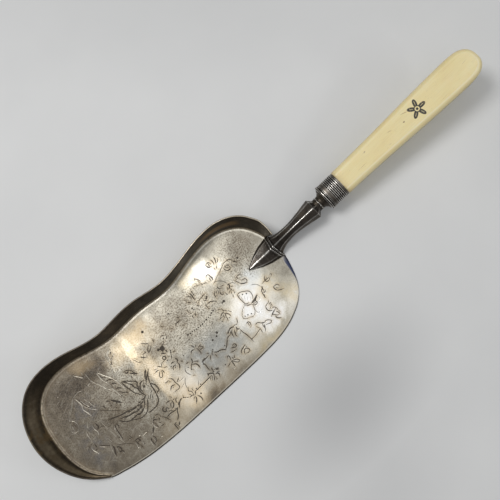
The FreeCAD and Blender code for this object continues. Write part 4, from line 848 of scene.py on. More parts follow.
# ---------------------------------------------------------------- silver of the pan's sheet
def pan_material():
    p = Paint("pan_silver_engraved")
    flat = p.vec("MULTIPLY", p.mm, (1.0, 1.0, 0.0))
    wob = p.noise(p.mapped(flat, (0, 0, 0), (0, 0, 1.15), (1.9, 1, 1)), 0.10, 5.0, 0.66, colour=True)
    drift = p.vec("MULTIPLY", p.vec("SUBTRACT", wob, (0.5, 0.5, 0.5)), (15.0, 15.0, 0.0))
    soft = p.vec("ADD", flat, drift)
    fine = p.noise(flat, 0.9, 4.0, 0.7)
    mid = p.noise(flat, 0.19, 5.0, 0.65)
    up = p.step(p.attr("top"), 0.4, 0.6)

    # how far the silver has turned, 0 clean to 1 black
    t = p.step(p.x, -84.0, -128.0, 0.43, 0.63)
    t = p.add(t, p.mul(p.spot(soft, -138, 4, 30, 40, 8, 0.9), 0.05))
    t = p.add(t, p.mul(p.spot(soft, -122, 24, 22, 12, -12, 0.9), 0.12))
    t = p.add(t, p.mul(p.spot(soft, -62, 8, 26, 20, 0, 0.9), 0.05))
    t = p.add(t, p.mul(p.spot(soft, -58, -36, 30, 7, 0, 0.9), 0.05))
    t = p.add(t, p.mul(p.spot(soft, -84, 4, 13, 10, 0, 0.8), 0.14))
    for x, y, rx, ry, turn, add in ((-111, 23, 15, 11, -25, 0.17), (-3, 17, 17, 14, 50, 0.13), (-58, 12, 22, 17, 0, 0.09), (-42, -37, 22, 9, 0, 0.19),
                                    (-73, -40, 22, 8, 0, 0.27), (-139, 20, 13, 15, 0, 0.06), (-3, -27, 15, 10, 40, 0.06), (-123, -31, 14, 9, 0, -0.07),
                                    (-80, 22, 11, 8, 0, 0.14), (-113, 24, 13, 8, -25, 0.09), (-135, 14, 22, 18, 0, 0.05), (-129, 21, 15, 10, 0, 0.10), (-60, -10, 26, 14, 0, 0.04)):
        t = p.add(t, p.mul(p.spot(soft, x, y, rx, ry, turn, 0.9), add))
    t = p.add(t, p.mul(p.spot(soft, -8, 14, 16, 12, 50, 0.9), 0.05))
    # lighter, cleaner silver round the heel end with a painted reflection of the overhead light on it, and warm painted
    # reflection bands across the middle
    bright = p.most(p.most(p.spot(soft, -20, -14, 27, 22, 25, 0.95), p.spot(soft, -30, 19, 19, 9.5, -12, 0.95)),
                    p.mul(p.spot(soft, -2, -27, 22, 12, 40, 1.0), 0.70))
    bright = p.most(bright, p.mul(p.spot(soft, -36, -33, 26, 11, 0, 1.0), 0.45))
    bright = p.most(bright, p.mul(p.spot(soft, -17, -27, 19, 11, 10, 0.9), 0.95))
    # warm: painted reflection bands across the middle of the sheet
    warm = p.most(p.mul(p.spot(soft, -89, 19, 24, 11, 8, 1.0), 0.20), p.spot(soft, -79, -26, 19, 16, 60, 0.9))
    tan = p.spot(soft, -88, 18, 22, 12, 8, 0.9)
    warm = p.most(warm, p.mul(p.spot(soft, -87, -8, 9, 30, 4, 0.9), 0.85))
    warm = p.most(warm, p.mul(p.spot(soft, -91, 12, 4.5, 16, -8, 0.8), 1.15))
    sheen = p.add(0.80, p.mul(p.step(mid, 0.34, 0.62), 0.28))
    bright, warm = p.mul(bright, sheen), p.mul(warm, sheen)
    t = p.sub(t, p.mul(bright, 0.50))
    t = p.sub(t, p.mul(warm, 0.27))
    t = p.add(t, p.mul(p.sub(mid, 0.5), p.step(p.x, -80.0, -125.0, 0.32, 0.46)))
    # worn grain: patches of fine dark stipple where the plate has pitted
    grain = p.noise(flat, 1.15, 2.0, 0.75)
    patch = p.most(p.most(p.spot(soft, -56, 6, 34, 26, 0, 0.7), p.spot(soft, -10, 12, 22, 16, 60, 0.7)),
                   p.mul(p.spot(soft, -112, 4, 64, 40, 0, 0.8), 0.85))
    t = p.add(t, p.mul(p.mul(p.sub(p.step(grain, 0.44, 0.66), 0.4), p.add(0.25, patch)), 0.24))
    t = p.add(t, p.mul(p.step(fine, 0.60, 0.78), 0.08))
    rub = p.noise(p.mapped(flat, (3, 7, 0), (0, 0, math.radians(83)), (5.5, 1, 1)), 0.22, 3.0, 0.6)
    t = p.add(t, p.mul(p.sub(rub, 0.5), p.step(p.x, -50.0, -75.0, 0.10, 0.26)))
    # a rubbed line beside the wall's foot, and darker right in the angle against the wall
    foot = p.attr("foot")
    t = p.add(t, p.mul(p.band(foot, 0.70, 0.80, 0.88, 0.95), -0.20))
    t = p.add(t, p.mul(p.step(foot, 0.90, 0.98), 0.22))
    t = p.math("MAXIMUM", p.math("MINIMUM", t, 1.0), 0.0)

    body = p.ramp(t, [(0.0, (0.97, 0.965, 0.95)), (0.14, (0.82, 0.795, 0.725)), (0.28, (0.54, 0.508, 0.428)),
                      (0.43, (0.320, 0.300, 0.252)), (0.58, (0.190, 0.166, 0.130)), (0.76, (0.108, 0.090, 0.069)), (1.0, (0.045, 0.038, 0.032))])
    gold = p.most(p.most(p.spot(soft, -84, 20, 30, 12, -28, 0.9), p.spot(soft, -88, -33, 30, 12, 4, 0.9)),
                  p.most(p.spot(soft, -118, 29, 14, 6, -30, 0.9), p.spot(soft, -62, -30, 40, 12, 0, 0.9)))
    # golden tint from the gold and tan patches and from the warm painted reflection bands
    body = p.mix(p.most(p.most(p.mul(gold, 0.16), p.mul(warm, 0.55)), p.mul(tan, 0.40)), body, (0.80, 0.60, 0.34))
    blue = p.most(p.spot(soft, -133, 4, 18, 13, 30, 0.9), p.spot(soft, -140, -14, 12, 16, 0, 0.9))
    body = p.mix(p.mul(p.mul(blue, p.step(mid, 0.40, 0.62)), 0.30), body, (0.155, 0.170, 0.200))
    honey = p.most(p.most(p.spot(soft, -9, -12, 13, 9, 20, 0.9), p.spot(soft, -23, -39, 22, 7, 0, 0.9)), p.spot(soft, -37, 22, 11, 9, 0, 0.9))
    honey = p.most(honey, p.spot(soft, 0, -24, 9, 12, 30, 0.9))
    body = p.mix(p.mul(p.mul(honey, p.step(mid, 0.30, 0.58)), 0.46), body, (0.72, 0.58, 0.32))
    cool = p.most(p.spot(soft, -56, -20, 38, 19, 0, 0.8), p.spot(soft, -12, -2, 14, 10, 0, 0.9))
    body = p.mix(p.mul(cool, 0.58), body, p.mix(p.step(t, 0.15, 0.5), (0.62, 0.66, 0.68), (0.235, 0.255, 0.262)))
    haze = p.step(p.noise(flat, 0.33, 3.0, 0.6, 0.6), 0.56, 0.74)
    body = p.mix(p.mul(haze, 0.07), body, (0.90, 0.90, 0.88))
    # the warm shade that gathers in and round the engraving
    halo = p.mul(p.attr("halo"), p.step(mid, 0.30, 0.60))
    body = p.mix(p.mul(halo, 0.62), body, p.mix(p.step(t, 0.15, 0.60), (0.58, 0.46, 0.29), (0.135, 0.108, 0.076)))
    # darker brown along the wall's foot toward the toe
    rim = p.step(p.attr("foot"), 0.45, 0.90)
    body = p.mix(p.mul(p.mul(rim, p.step(p.x, -60.0, -120.0)), 0.45), body, (0.155, 0.110, 0.070))
    hair = p.most(p.most(hairlines(p, flat, 28, 0.16, 16, 0.70, 1), hairlines(p, flat, -47, 0.14, 11, 0.715, 2)),
                  p.most(hairlines(p, flat, 8, 0.13, 22, 0.705, 3), hairlines(p, flat, 74, 0.15, 9, 0.72, 4)))
    body = p.mix(p.mul(hair, p.blend(t, 0.12, 0.20)), body, p.mix(p.step(t, 0.25, 0.55), (0.45, 0.40, 0.33), (0.78, 0.73, 0.64)))

    cut = p.attr("cut")
    ink = p.step(cut, 0.01, 0.34)
    pale = p.step(cut, -0.01, -0.46)
    body = p.mix(p.mul(ink, p.blend(p.step(fine, 0.35, 0.7), 0.95, 0.80)), body, (0.050, 0.039, 0.029))
    body = p.mix(p.mul(pale, p.blend(p.step(mid, 0.36, 0.62), 0.72, 0.30)), body, (0.62, 0.58, 0.50))
    edge = p.attr("edge")
    body = p.mix(p.mul(p.band(edge, 0.03, 0.20, 0.34, 0.55), 0.50), body, (0.90, 0.85, 0.74))
    # the outermost rounding of the free edge dark: partly the edge's own dark, partly a painted contact shadow against
    # the floor
    body = p.mix(p.mul(p.step(edge, 0.42, 0.82), 0.88), body, (0.045, 0.037, 0.030))
    # painted reflection: a dark blue reflection on the rounded edge at the heel
    blue_edge_reflection = p.mul(p.spot(flat, 9.0, -13.0, 7.0, 15.0, 22, 0.7), p.step(edge, 0.01, 0.30))
    body = p.mix(p.mul(blue_edge_reflection, 0.92), body, (0.045, 0.060, 0.125))

    # the underside: duller, grey-brown, with rubbed patches and a few darker runs
    un = p.add(p.add(p.mul(p.noise(flat, 0.045, 4.0, 0.6), 0.9), p.mul(fine, 0.25)), p.step(p.x, 0.0, -160.0, -0.08, 0.12))
    under = p.ramp(un, [(0.30, (0.82, 0.79, 0.72)), (0.52, (0.66, 0.59, 0.47)), (0.68, (0.46, 0.38, 0.28)), (0.85, (0.22, 0.18, 0.15))])
    under = p.mix(p.mul(hair, 0.4), under, (0.86, 0.83, 0.76))
    body = p.mix(up, under, body)

    rough = p.add(p.blend(t, 0.30, 0.46), p.mul(p.sub(fine, 0.5), 0.16))
    rough = p.add(rough, p.add(p.mul(ink, 0.30), p.mul(hair, 0.05)))
    metal = p.blend(ink, p.blend(p.step(t, 0.45, 1.0), 1.0, 0.86), 0.20)
    p.set(Base_Color=body, Roughness=rough, Metallic=metal, IOR=1.45)
    wave = p.noise(flat, 0.06, 2.0, 0.5)
    n1 = p.bump(wave, 0.55, 0.0006)
    n2 = p.bump(p.add(p.mul(fine, 0.6), p.mul(grain, 0.6)), 0.22, 0.00006, n1)
    n3 = p.bump(hair, 0.14, 0.00003, n2)
    p.set(Normal=n3)
    return p.m


def plate_stations():
    r = np.radians(RIM[:, 2])
    back = np.stack([RIM[:, 0] + 1.35 * np.cos(r), RIM[:, 1] + 1.35 * np.sin(r)], 1)
    pts = np.vstack([[HEEL], back, LIP])
    knots = chords(pts, True)
    n = 860
    at = np.linspace(0, knots[-1], n, endpoint=False)
    closed = np.vstack([pts, pts[:1]])
    ring = cubic(knots, closed, at, True)
    step = np.roll(ring, -1, 0) - np.roll(ring, 1, 0)
    out = np.stack([step[:, 1], -step[:, 0]], 1)
    out /= np.linalg.norm(out, axis=1)[:, None]
    mid = ring.mean(0)
    if np.sum(out * (ring - mid)) < 0:
        out = -out
    return ring, out


def stroke_line(text):
    p = np.array([[float(c) for c in q.split(",")] for q in text.split()])
    k = chords(p)
    n = max(3, int(round(k[-1] / 0.42)) + 1)
    at = np.linspace(0, k[-1], n)
    if len(p) == 2:
        return np.stack([np.interp(at, k, p[:, 0]), np.interp(at, k, p[:, 1])], 1), k[-1]
    return cubic(k, p, at), k[-1]


def build_plate():
    ring, out = plate_stations()
    n = len(ring)
    # how wide and deep the free edge is worn round: least under the wall, most at the heel
    heel = np.exp(-((np.linalg.norm(ring - np.array([21.0, -9.0]), axis=1)) / 11.0) ** 2)
    lip = smooth(-ring[:, 1], 28, 36)
    wide = 0.28 + 2.6 * heel + 1.05 * lip
    drop = 0.28 + 0.20 * heel + 0.24 * lip

    cuts, cut_pts, cut_edges = [], [], []
    for tone, width, text in CUTS:
        line, length = stroke_line(text)
        line = line - SHIFT[:2]
        m = len(line)
        u = np.linspace(0, 1, m)
        lead = min(0.46, 0.9 / max(length, 0.5))
        taper = np.clip(np.minimum(u / lead, (1 - u) / lead), 0, 1) ** 0.6
        half = 0.5 * width * (1.12 if tone > 0 else 0.90) * (0.40 + 0.60 * taper)
        d = np.gradient(line, axis=0)
        d /= np.linalg.norm(d, axis=1)[:, None] + 1e-9
        side = np.stack([-d[:, 1], d[:, 0]], 1)
        deep = min(0.075, 0.14 * width) * (0.55 + 0.45 * abs(tone))
        cuts.append((tone, line, half, deep))
        base = len(cut_pts)
        for rail in (line + side * half[:, None], line, line - side * half[:, None]):
            cut_pts.extend(rail.tolist())
        for k in range(3):
            cut_edges.extend((base + k * m + i, base + k * m + i + 1) for i in range(m - 1))
        cut_edges.extend([(base, base + m), (base + m, base + 2 * m), (base + m - 1, base + 2 * m - 1), (base + 2 * m - 1, base + 3 * m - 1)])
    pits = []
    for x, y, r, tone in PUNCHES:
        c = np.array([x, y]) - SHIFT[:2]
        base = len(cut_pts)
        around = 10
        for lift in (1.0, 0.55):
            for k in range(around):
                a = 2 * math.pi * (k + (0.5 if lift < 1 else 0)) / around
                cut_pts.append([c[0] + r * lift * math.cos(a), c[1] + r * lift * math.sin(a)])
        cut_pts.append(c.tolist())
        for j in range(2):
            cut_edges.extend((base + j * around + k, base + j * around + (k + 1) % around) for k in range(around))
        pits.append((tone, c, r))

    inner = ring - out * wide[:, None]
    near = kdtree.KDTree(len(cut_pts))
    for i, q in enumerate(cut_pts):
        near.insert((q[0], q[1], 0), i)
    near.balance()
    rim_tree = kdtree.KDTree(n)
    for i, q in enumerate(inner):
        rim_tree.insert((q[0], q[1], 0), i)
    rim_tree.balance()
    gap = 1.25
    grid = []
    row = 0
    y = ring[:, 1].min()
    while y < ring[:, 1].max():
        x = ring[:, 0].min() + (gap / 2 if row % 2 else 0)
        while x < ring[:, 0].max():
            i = rim_tree.find((x, y, 0))
            k = i[1]
            if np.dot(np.array([x, y]) - inner[k], out[k]) < -0.35 and i[2] > 0.45 and near.find((x, y, 0))[2] > 0.33:
                grid.append([x, y])
            x += gap
        y += gap * 0.866
        row += 1
    pts = inner.tolist() + cut_pts + grid
    rim_edges = [(i, (i + 1) % n) for i in range(n)]
    edges = rim_edges + [(a + n, b + n) for a, b in cut_edges]
    got = delaunay_2d_cdt([Vector(q) for q in pts], edges, [list(range(n))], 1, 1e-5)
    top = np.array([tuple(q) for q in got[0]])
    tris = [tuple(f) for f in got[2]]
    orig = got[3]

    depth, cut = np.zeros(len(top)), np.zeros(len(top))
    for tone, line, half, deep in cuts:
        lo, hi = line.min(0) - 0.9, line.max(0) + 0.9
        ids = np.nonzero(((top >= lo) & (top <= hi)).all(1))[0]
        if not len(ids):
            continue
        q = top[ids]
        a, b = line[:-1], line[1:]
        ab = b - a
        w = np.clip(np.einsum("ijk,jk->ij", q[:, None, :] - a[None], ab) / (np.sum(ab * ab, 1)[None] + 1e-12), 0, 1)
        near_pt = a[None] + ab[None] * w[..., None]
        dist = np.linalg.norm(q[:, None, :] - near_pt, axis=2)
        wide_at = half[:-1][None] * (1 - w) + half[1:][None] * w
        rel = (1 - dist / np.maximum(wide_at, 0.03)).max(1)
        inside = rel > 0.02
        dp = deep * np.clip(rel, 0, 1) * inside
        depth[ids] = np.maximum(depth[ids], dp)
        val = np.clip(rel, 0, 1) * tone * inside
        swap = np.abs(val) > np.abs(cut[ids])
        cut[ids] = np.where(swap, val, cut[ids])
    for tone, c, r in pits:
        dist = np.linalg.norm(top - c, axis=1)
        rel = np.clip((1 - dist / r) / 0.45, 0, 1)
        depth = np.maximum(depth, rel * min(0.22, 0.3 * r))
        cut = np.where(rel * tone > np.abs(cut), rel * tone, cut)
    verts = [(q[0], q[1], 1.0 - d) for q, d in zip(top, depth)]
    # the outline's own vertices in the triangulated sheet, in order
    place = {}
    for i, o in enumerate(orig):
        for k in o:
            if k < n:
                place[k] = i
    edge_ids = [place[k] for k in range(n)]
    flat_face = [bool(max(depth[list(f)]) > 1e-6) for f in tris]
    foot_dist = np.full(len(top), 99.0)
    wall_line = strip_lines()["foot"][:, :2]
    wall_tree = kdtree.KDTree(len(wall_line))
    for i, q in enumerate(wall_line):
        wall_tree.insert((q[0], q[1], 0), i)
    wall_tree.balance()
    for i, q in enumerate(top):
        foot_dist[i] = wall_tree.find((q[0], q[1], 0))[2]
    halo = np.zeros(len(top))
    for tone, line, half, deep in cuts:
        if tone < 0.6:
            continue
        lo, hi = line.min(0) - 2.4, line.max(0) + 2.4
        ids = np.nonzero(((top >= lo) & (top <= hi)).all(1))[0]
        if len(ids):
            q = top[ids]
            dist = np.linalg.norm(q[:, None, :] - line[None], axis=2).min(1)
            halo[ids] = np.maximum(halo[ids], np.exp(-(dist / 1.10) ** 2))
    foot = np.clip(1 - foot_dist / 7.0, 0, 1).tolist()
    cut = cut.tolist()
    top_side = [1.0] * len(verts)
    edge = [0.0] * len(verts)
    faces = list(tris)
    prev = edge_ids
    steps = 7
    for k in range(1, steps + 1):
        a = math.pi / 2 * k / steps
        pos = ring - out * (wide * (1 - math.sin(a)))[:, None]
        z = 1.0 - drop * (1 - math.cos(a))
        start = len(verts)
        verts.extend((q[0], q[1], zz) for q, zz in zip(pos, z))
        foot += [0.0] * n; cut += [0.0] * n; top_side += [1.0] * n
        edge += [math.sin(a)] * n
        ids = list(range(start, start + n))
        faces.extend((prev[i], ids[i], ids[(i + 1) % n], prev[(i + 1) % n]) for i in range(n))
        prev = ids
    for inset, z, side in ((0.0, 0.12, 0.3), (0.05, 0.03, 0.0), (0.16, 0.0, 0.0)):
        pos = ring - out * inset
        start = len(verts)
        verts.extend((q[0], q[1], z) for q in pos)
        foot += [0.0] * n; cut += [0.0] * n; top_side += [side] * n; edge += [0.6] * n
        ids = list(range(start, start + n))
        faces.extend((prev[i], ids[i], ids[(i + 1) % n], prev[(i + 1) % n]) for i in range(n))
        prev = ids
    low = ring - out * 0.16
    got = delaunay_2d_cdt([Vector(q) for q in low.tolist() + [g for g in grid[::3]]], rim_edges, [list(range(n))], 1, 1e-5)
    place2 = {}
    for i, o in enumerate(got[3]):
        for k in o:
            if k < n:
                place2[k] = i
    ids2 = {i: prev[k] for k, i in place2.items()}
    for i, q in enumerate(got[0]):
        if i not in ids2:
            ids2[i] = len(verts)
            verts.append((q[0], q[1], 0.0))
            foot.append(0.0); cut.append(0.0); top_side.append(0.0); edge.append(0.0)
    faces.extend(tuple(ids2[i] for i in reversed(f)) for f in got[2])
    ob = piece("pan_sheet", verts, faces, "pan_plate", pan_material(),
                 flat=flat_face, attrs={"cut": cut, "foot": foot, "top": top_side, "edge": edge,
                        "halo": halo.tolist() + [0.0] * (len(verts) - len(halo))})
    outward(ob)
    # the sheet between the grooves keeps its own flat shading right up to their edges
    me = ob.data
    corner = np.empty(len(me.loops), np.int32)
    me.loops.foreach_get("vertex_index", corner)
    total, rounded = np.empty(len(me.polygons), np.int32), np.empty(len(me.polygons), bool)
    me.polygons.foreach_get("loop_total", total)
    me.polygons.foreach_get("use_smooth", rounded)
    level = np.zeros(len(me.vertices), bool)
    level[:len(top)] = depth < 1e-9
    flat_here = level[corner] & np.repeat(rounded, total)
    normals = np.zeros((len(corner), 3))
    normals[flat_here, 2] = 1.0
    me.normals_split_custom_set(normals.tolist())
    return ob


# ---------------------------------------------------------------- rim wall
_strip = {}


def strip_lines():
    """Stations of the rim strip, closely spaced along its inner foot."""
    if _strip:
        return _strip
    knots = chords(RIM[:, :2])
    n = 620
    at = np.linspace(0, knots[-1], n)
    got = cubic(knots, RIM, at)
    lean = np.interp(at, [0, knots[1]], [14.5, 0.0])
    a = np.radians(got[:, 2])
    out = np.stack([np.cos(a), np.sin(a), 0 * a], 1)
    q = np.radians(lean)
    rise = np.stack([out[:, 1] * np.sin(q), -out[:, 0] * np.sin(q), np.cos(q)], 1)
    foot = np.stack([got[:, 0], got[:, 1], 0 * a + 1.0], 1)
    _strip.update(at=at, out=out, rise=rise, foot=foot, high=got[:, 3], flare=got[:, 4])
    return _strip


def wall_material():
    p = Paint("wall_silver_patina")
    along, high, inner = p.attr("along"), p.attr("high"), p.attr("inner")
    wob = p.noise(p.mm, 0.12, 4.0, 0.6)
    fine = p.noise(p.mm, 1.1, 3.0, 0.7)
    streak = p.noise(p.mapped(p.mm, (0, 0, 0), (0, 0, 0), (1, 1, 7)), 0.55, 4.0, 0.65)
    # inner face far darker than the outer: partly patina, partly painted shade of the flared inner face reflecting the
    # dark surroundings
    t = p.add(p.blend(p.step(inner, 0.0, 0.30), 0.36, 0.79), p.mul(p.sub(wob, 0.5), 0.50))
    t = p.add(t, p.mul(p.sub(streak, 0.5), 0.30))
    # painted highlight: a lighter band at mid-height on the inner face round the toe's bend
    t = p.sub(t, p.mul(p.mul(p.band(along, 150.0, 190.0, 235.0, 262.0), p.band(high, 0.10, 0.45, 0.70, 0.95)), 0.46))
    # painted highlight: a thin lighter line along the rim's top, strongest toward the heel end
    t = p.sub(t, p.mul(p.mul(p.step(high, 0.975, 1.0), p.step(along, 92.0, 50.0, 0.22, 1.0)), 0.46))
    foot = p.step(high, 0.13, 0.03)
    t = p.sub(t, p.mul(p.mul(foot, inner), 0.20))
    t = p.math("MAXIMUM", p.math("MINIMUM", t, 1.0), 0.0)
    body = p.ramp(t, [(0.0, WHITE), (0.16, CREAM), (0.34, (0.52, 0.46, 0.36)), (0.52, (0.27, 0.23, 0.175)),
                      (0.72, (0.115, 0.096, 0.075)), (1.0, (0.035, 0.03, 0.026))])
    warm = p.mul(p.mul(p.band(along, 14.0, 20.0, 34.0, 44.0), p.band(high, 0.22, 0.40, 0.52, 0.72)), inner)
    body = p.mix(p.mul(warm, 0.55), body, (0.55, 0.35, 0.17))
    # painted reflection: warm glints on the inner face at the toe
    warm2 = p.mul(p.mul(p.band(along, 176.0, 184.0, 196.0, 206.0), p.step(wob, 0.45, 0.6)), inner)
    body = p.mix(p.mul(warm2, 0.40), body, (0.62, 0.44, 0.22))
    solder = p.mul(p.mul(p.step(high, 0.075, 0.02), inner), p.step(streak, 0.30, 0.52))
    body = p.mix(p.mul(solder, 0.85), body, (0.72, 0.62, 0.47))
    scr = p.most(hairlines(p, p.mm, 3, 0.22, 18, 0.70, 6), hairlines(p, p.mm, -12, 0.2, 12, 0.71, 7))
    body = p.mix(p.mul(scr, 0.35), body, (0.66, 0.58, 0.46))
    p.set(Base_Color=body, Roughness=p.add(p.blend(t, 0.25, 0.50), p.mul(p.sub(fine, 0.5), 0.2)),
          Metallic=p.blend(p.step(t, 0.5, 1.0), 1.0, 0.80), IOR=1.45)
    n1 = p.bump(wob, 0.45, 0.0004)
    p.set(Normal=p.bump(p.add(p.mul(fine, 0.5), p.mul(scr, 0.6)), 0.30, 0.00006, n1))
    return p.m


def build_wall():
    s = strip_lines()
    t = 1.0
    verts, high, inner, along = [], [], [], []
    n = len(s["at"])
    per = None
    rim_wave = np.array([math.sin(a * 0.071) * 0.05 + math.sin(a * 0.19 + 1.3) * 0.03 - 0.085 for a in s["at"]])
    for i in range(n):
        h, f = s["high"][i], s["flare"][i]
        cu, cv = f - t / 2, h - t / 2
        tilt = math.atan2(cu - t / 2, cv)
        for _ in range(12):
            tilt = math.atan2(cu - t / (2 * math.cos(tilt)), cv)
        m = np.array([math.cos(tilt), -math.sin(tilt)])
        foot_out = t / math.cos(tilt)
        c = np.array([cu, cv])
        a_in, a_out = c - m * t / 2, c + m * t / 2
        prof = []
        fill = min(0.75, 0.25 * h)
        prof.append((-fill * 0.95, 0.0, 0.0, 1)); prof.append((-fill * 0.55, fill * 0.10, 0.012, 1)); prof.append((-fill * 0.20, fill * 0.34, 0.03, 1))
        k0 = min(0.95, fill * 0.95 / max(a_in[1], 0.4))
        for k in range(9):
            w = k0 + (1 - k0) * k / 8
            # the strip is very slightly dished between foot and rim
            dish = 0.05 * math.sin(math.pi * w) * (1 + 0.4 * math.sin(s["at"][i] * 0.11))
            prof.append((a_in[0] * w - dish, a_in[1] * w, 0.95 * w, 1))
        for k in range(1, 8):
            ang = math.atan2(-m[1], -m[0]) - math.pi * k / 8
            prof.append((c[0] + 0.5 * t * math.cos(ang), c[1] + 0.5 * t * math.sin(ang), 0.95 + 0.05 * math.sin(math.pi * k / 8), 1 - k / 8))
        for k in range(7):
            w = 1 - k / 6 * 0.94
            prof.append((foot_out + (a_out[0] - foot_out) * w, a_out[1] * w, 0.95 * w, 0))
        prof.append((foot_out + 0.12, 0.10, 0.01, 0)); prof.append((foot_out + 0.28, 0.0, 0.0, 0))
        per = len(prof)
        for k, (u, v, hh, inn) in enumerate(prof):
            lift = rim_wave[i] * (v / h) * (0 if v <= 0.02 else 1)
            pt = s["foot"][i] + s["out"][i] * (u + lift * 0.6) + s["rise"][i] * max(v, 0.0)
            verts.append(pt)
            high.append(hh); inner.append(inn); along.append(s["at"][i])
    faces = [tuple(reversed(f)) for f in skin(n, per)]
    # end faces, fanned from a middle point a little proud of the strip's end
    for first, end in ((True, 0), (False, n - 1)):
        base = end * per
        centre = np.mean([verts[base + k] for k in range(per)], axis=0)
        tang = s["foot"][1] - s["foot"][0] if first else s["foot"][-1] - s["foot"][-2]
        tang = tang / np.linalg.norm(tang)
        centre = centre + tang * (-0.05 if first else 0.05)
        idx = len(verts)
        verts.append(centre); high.append(0.93); inner.append(0.5); along.append(s["at"][end])
        for k in range(per):
            a, b = base + k, base + (k + 1) % per
            faces.append((a, b, idx) if first else (b, a, idx))
    ob = piece("rim_strip", np.array(verts), faces, "rim_wall", wall_material(),
               attrs={"high": high, "inner": inner, "along": along})
    outward(ob)
    return ob


# ---------------------------------------------------------------- stem
def silver_cast(name, dark=0.0, edge_gain=0.56):
    """Cast silver with grey patina in its hollows and brighter rubbed edges."""
    p = Paint(name)
    low = p.noise(p.mm, 0.22, 5.0, 0.62)
    fine = p.noise(p.mm, 2.2, 3.0, 0.7)
    edge, hollow = p.attr("edge"), p.attr("hollow")
    t = p.add(p.add(0.56 + dark, p.mul(p.sub(low, 0.5), 0.56)), p.mul(p.sub(fine, 0.5), 0.09))
    t = p.sub(t, p.mul(p.math("POWER", edge, 1.6), edge_gain))
    t = p.add(t, p.mul(hollow, 0.72))
    t = p.math("MAXIMUM", p.math("MINIMUM", t, 1.0), 0.0)
    body = p.ramp(t, [(0.0, (0.96, 0.95, 0.92)), (0.20, (0.78, 0.755, 0.71)), (0.38, (0.42, 0.40, 0.375)),
                      (0.55, (0.180, 0.165, 0.148)), (0.75, (0.078, 0.067, 0.057)), (1.0, (0.022, 0.019, 0.016))])
    warm = p.step(p.noise(p.mm, 0.10, 3.0, 0.5), 0.50, 0.68)
    body = p.mix(p.mul(warm, 0.08), body, (0.34, 0.26, 0.16))
    scr = p.most(hairlines(p, p.mm, 8, 0.20, 9, 0.70, 8), hairlines(p, p.mm, -31, 0.18, 7, 0.715, 9))
    body = p.mix(p.mul(scr, 0.13), body, (0.70, 0.68, 0.63))
    pits = p.mul(p.step(p.cells(p.mm, 0.55), 0.16, 0.05), p.step(low, 0.50, 0.60))
    body = p.mix(p.mul(pits, 0.75), body, (0.05, 0.04, 0.035))
    return p, t, body, fine, low, scr, pits


def stem_material():
    p, t, body, fine, low, scr, pits = silver_cast("stem_silver_worn", 0.25, 0.62)
    flat = p.vec("MULTIPLY", p.mm, (1.0, 1.0, 0.0))
    # painted reflection: a lighter grey patch on the foot's upper-left facet
    patch = p.mul(p.spot(flat, 3.0, 5.6, 4.2, 2.3, 12, 0.5), p.step(p.noise(p.mm, 0.8, 3.0, 0.6), 0.40, 0.55))
    body = p.mix(p.mul(patch, 0.16), body, (0.55, 0.53, 0.49))
    p.set(Base_Color=body, Roughness=p.add(p.blend(t, 0.20, 0.42), p.mul(p.sub(fine, 0.5), 0.18)),
          Metallic=p.blend(p.step(t, 0.6, 1.0), 1.0, 0.85), IOR=1.45)
    n1 = p.bump(low, 0.5, 0.00025)
    n2 = p.bump(p.add(p.mul(fine, 0.6), p.mul(scr, 0.5)), 0.30, 0.00005, n1)
    p.set(Normal=p.bump(pits, -0.6, 0.0001, n2))
    return p.m


def section_loop(plane, tall, upper, side, low, soft=0.22, crest=0.16):
    """Rounded outline of one stem section as 3-D points, with how near each is to a corner."""
    bx, bz, lean = plane
    r = math.radians(lean)
    O, Yd, Ud = np.array([bx, 0, bz]), np.array([0, 1.0, 0]), np.array([-math.sin(r), 0, math.cos(r)])
    right = [np.array([0.0, tall]), np.array(upper), np.array(side), np.array(low), np.array([0.0, 0.0])]
    out, worn = [], []
    size = min(soft, 0.18 * tall + 0.02, 0.35 * np.linalg.norm(right[2] - right[1]) + 1e-3)
    # crest: a narrow flat rubbed along the ridge
    d1 = right[1] - right[0]
    d1 = d1 / (np.linalg.norm(d1) + 1e-9)
    cr = min(crest, 0.25 * np.linalg.norm(right[1] - right[0]))
    out.append(np.array([0.0, tall - abs(d1[1]) * cr * 0.55])); worn.append(1.0)
    out.append(right[0] + d1 * cr); worn.append(1.0)
    start = out[-1]
    for c in (1, 2, 3):
        a, b, nx = right[c - 1], right[c], right[c + 1]
        da, dn = a - b, nx - b
        la, ln = np.linalg.norm(da) + 1e-9, np.linalg.norm(dn) + 1e-9
        sa, sn = min(size, 0.3 * la), min(size, 0.3 * ln)
        if c == 3:
            sn = sa = min(0.08, 0.2 * la)
        p0, p2 = b + da / la * sa, b + dn / ln * sn
        p1 = 0.25 * p0 + 0.5 * b + 0.25 * p2
        for w in (0.2, 0.4, 0.6, 0.8):
            out.append(start + (p0 - start) * w); worn.append(0.0)
        out += [p0, p1, p2]; worn += [0.6, 1.0, 0.6]
        start = p2
    for w in (0.35, 0.7):
        out.append(start + (right[4] - start) * w); worn.append(0.0)
    out.append(right[4]); worn.append(0.0)
    loop = list(out)
    lw = list(worn)
    for q, w in zip(out[-2:0:-1], worn[-2:0:-1]):
        loop.append(np.array([-q[0], q[1]])); lw.append(w)
    return [O + Yd * q[0] + Ud * q[1] for q in loop], lw


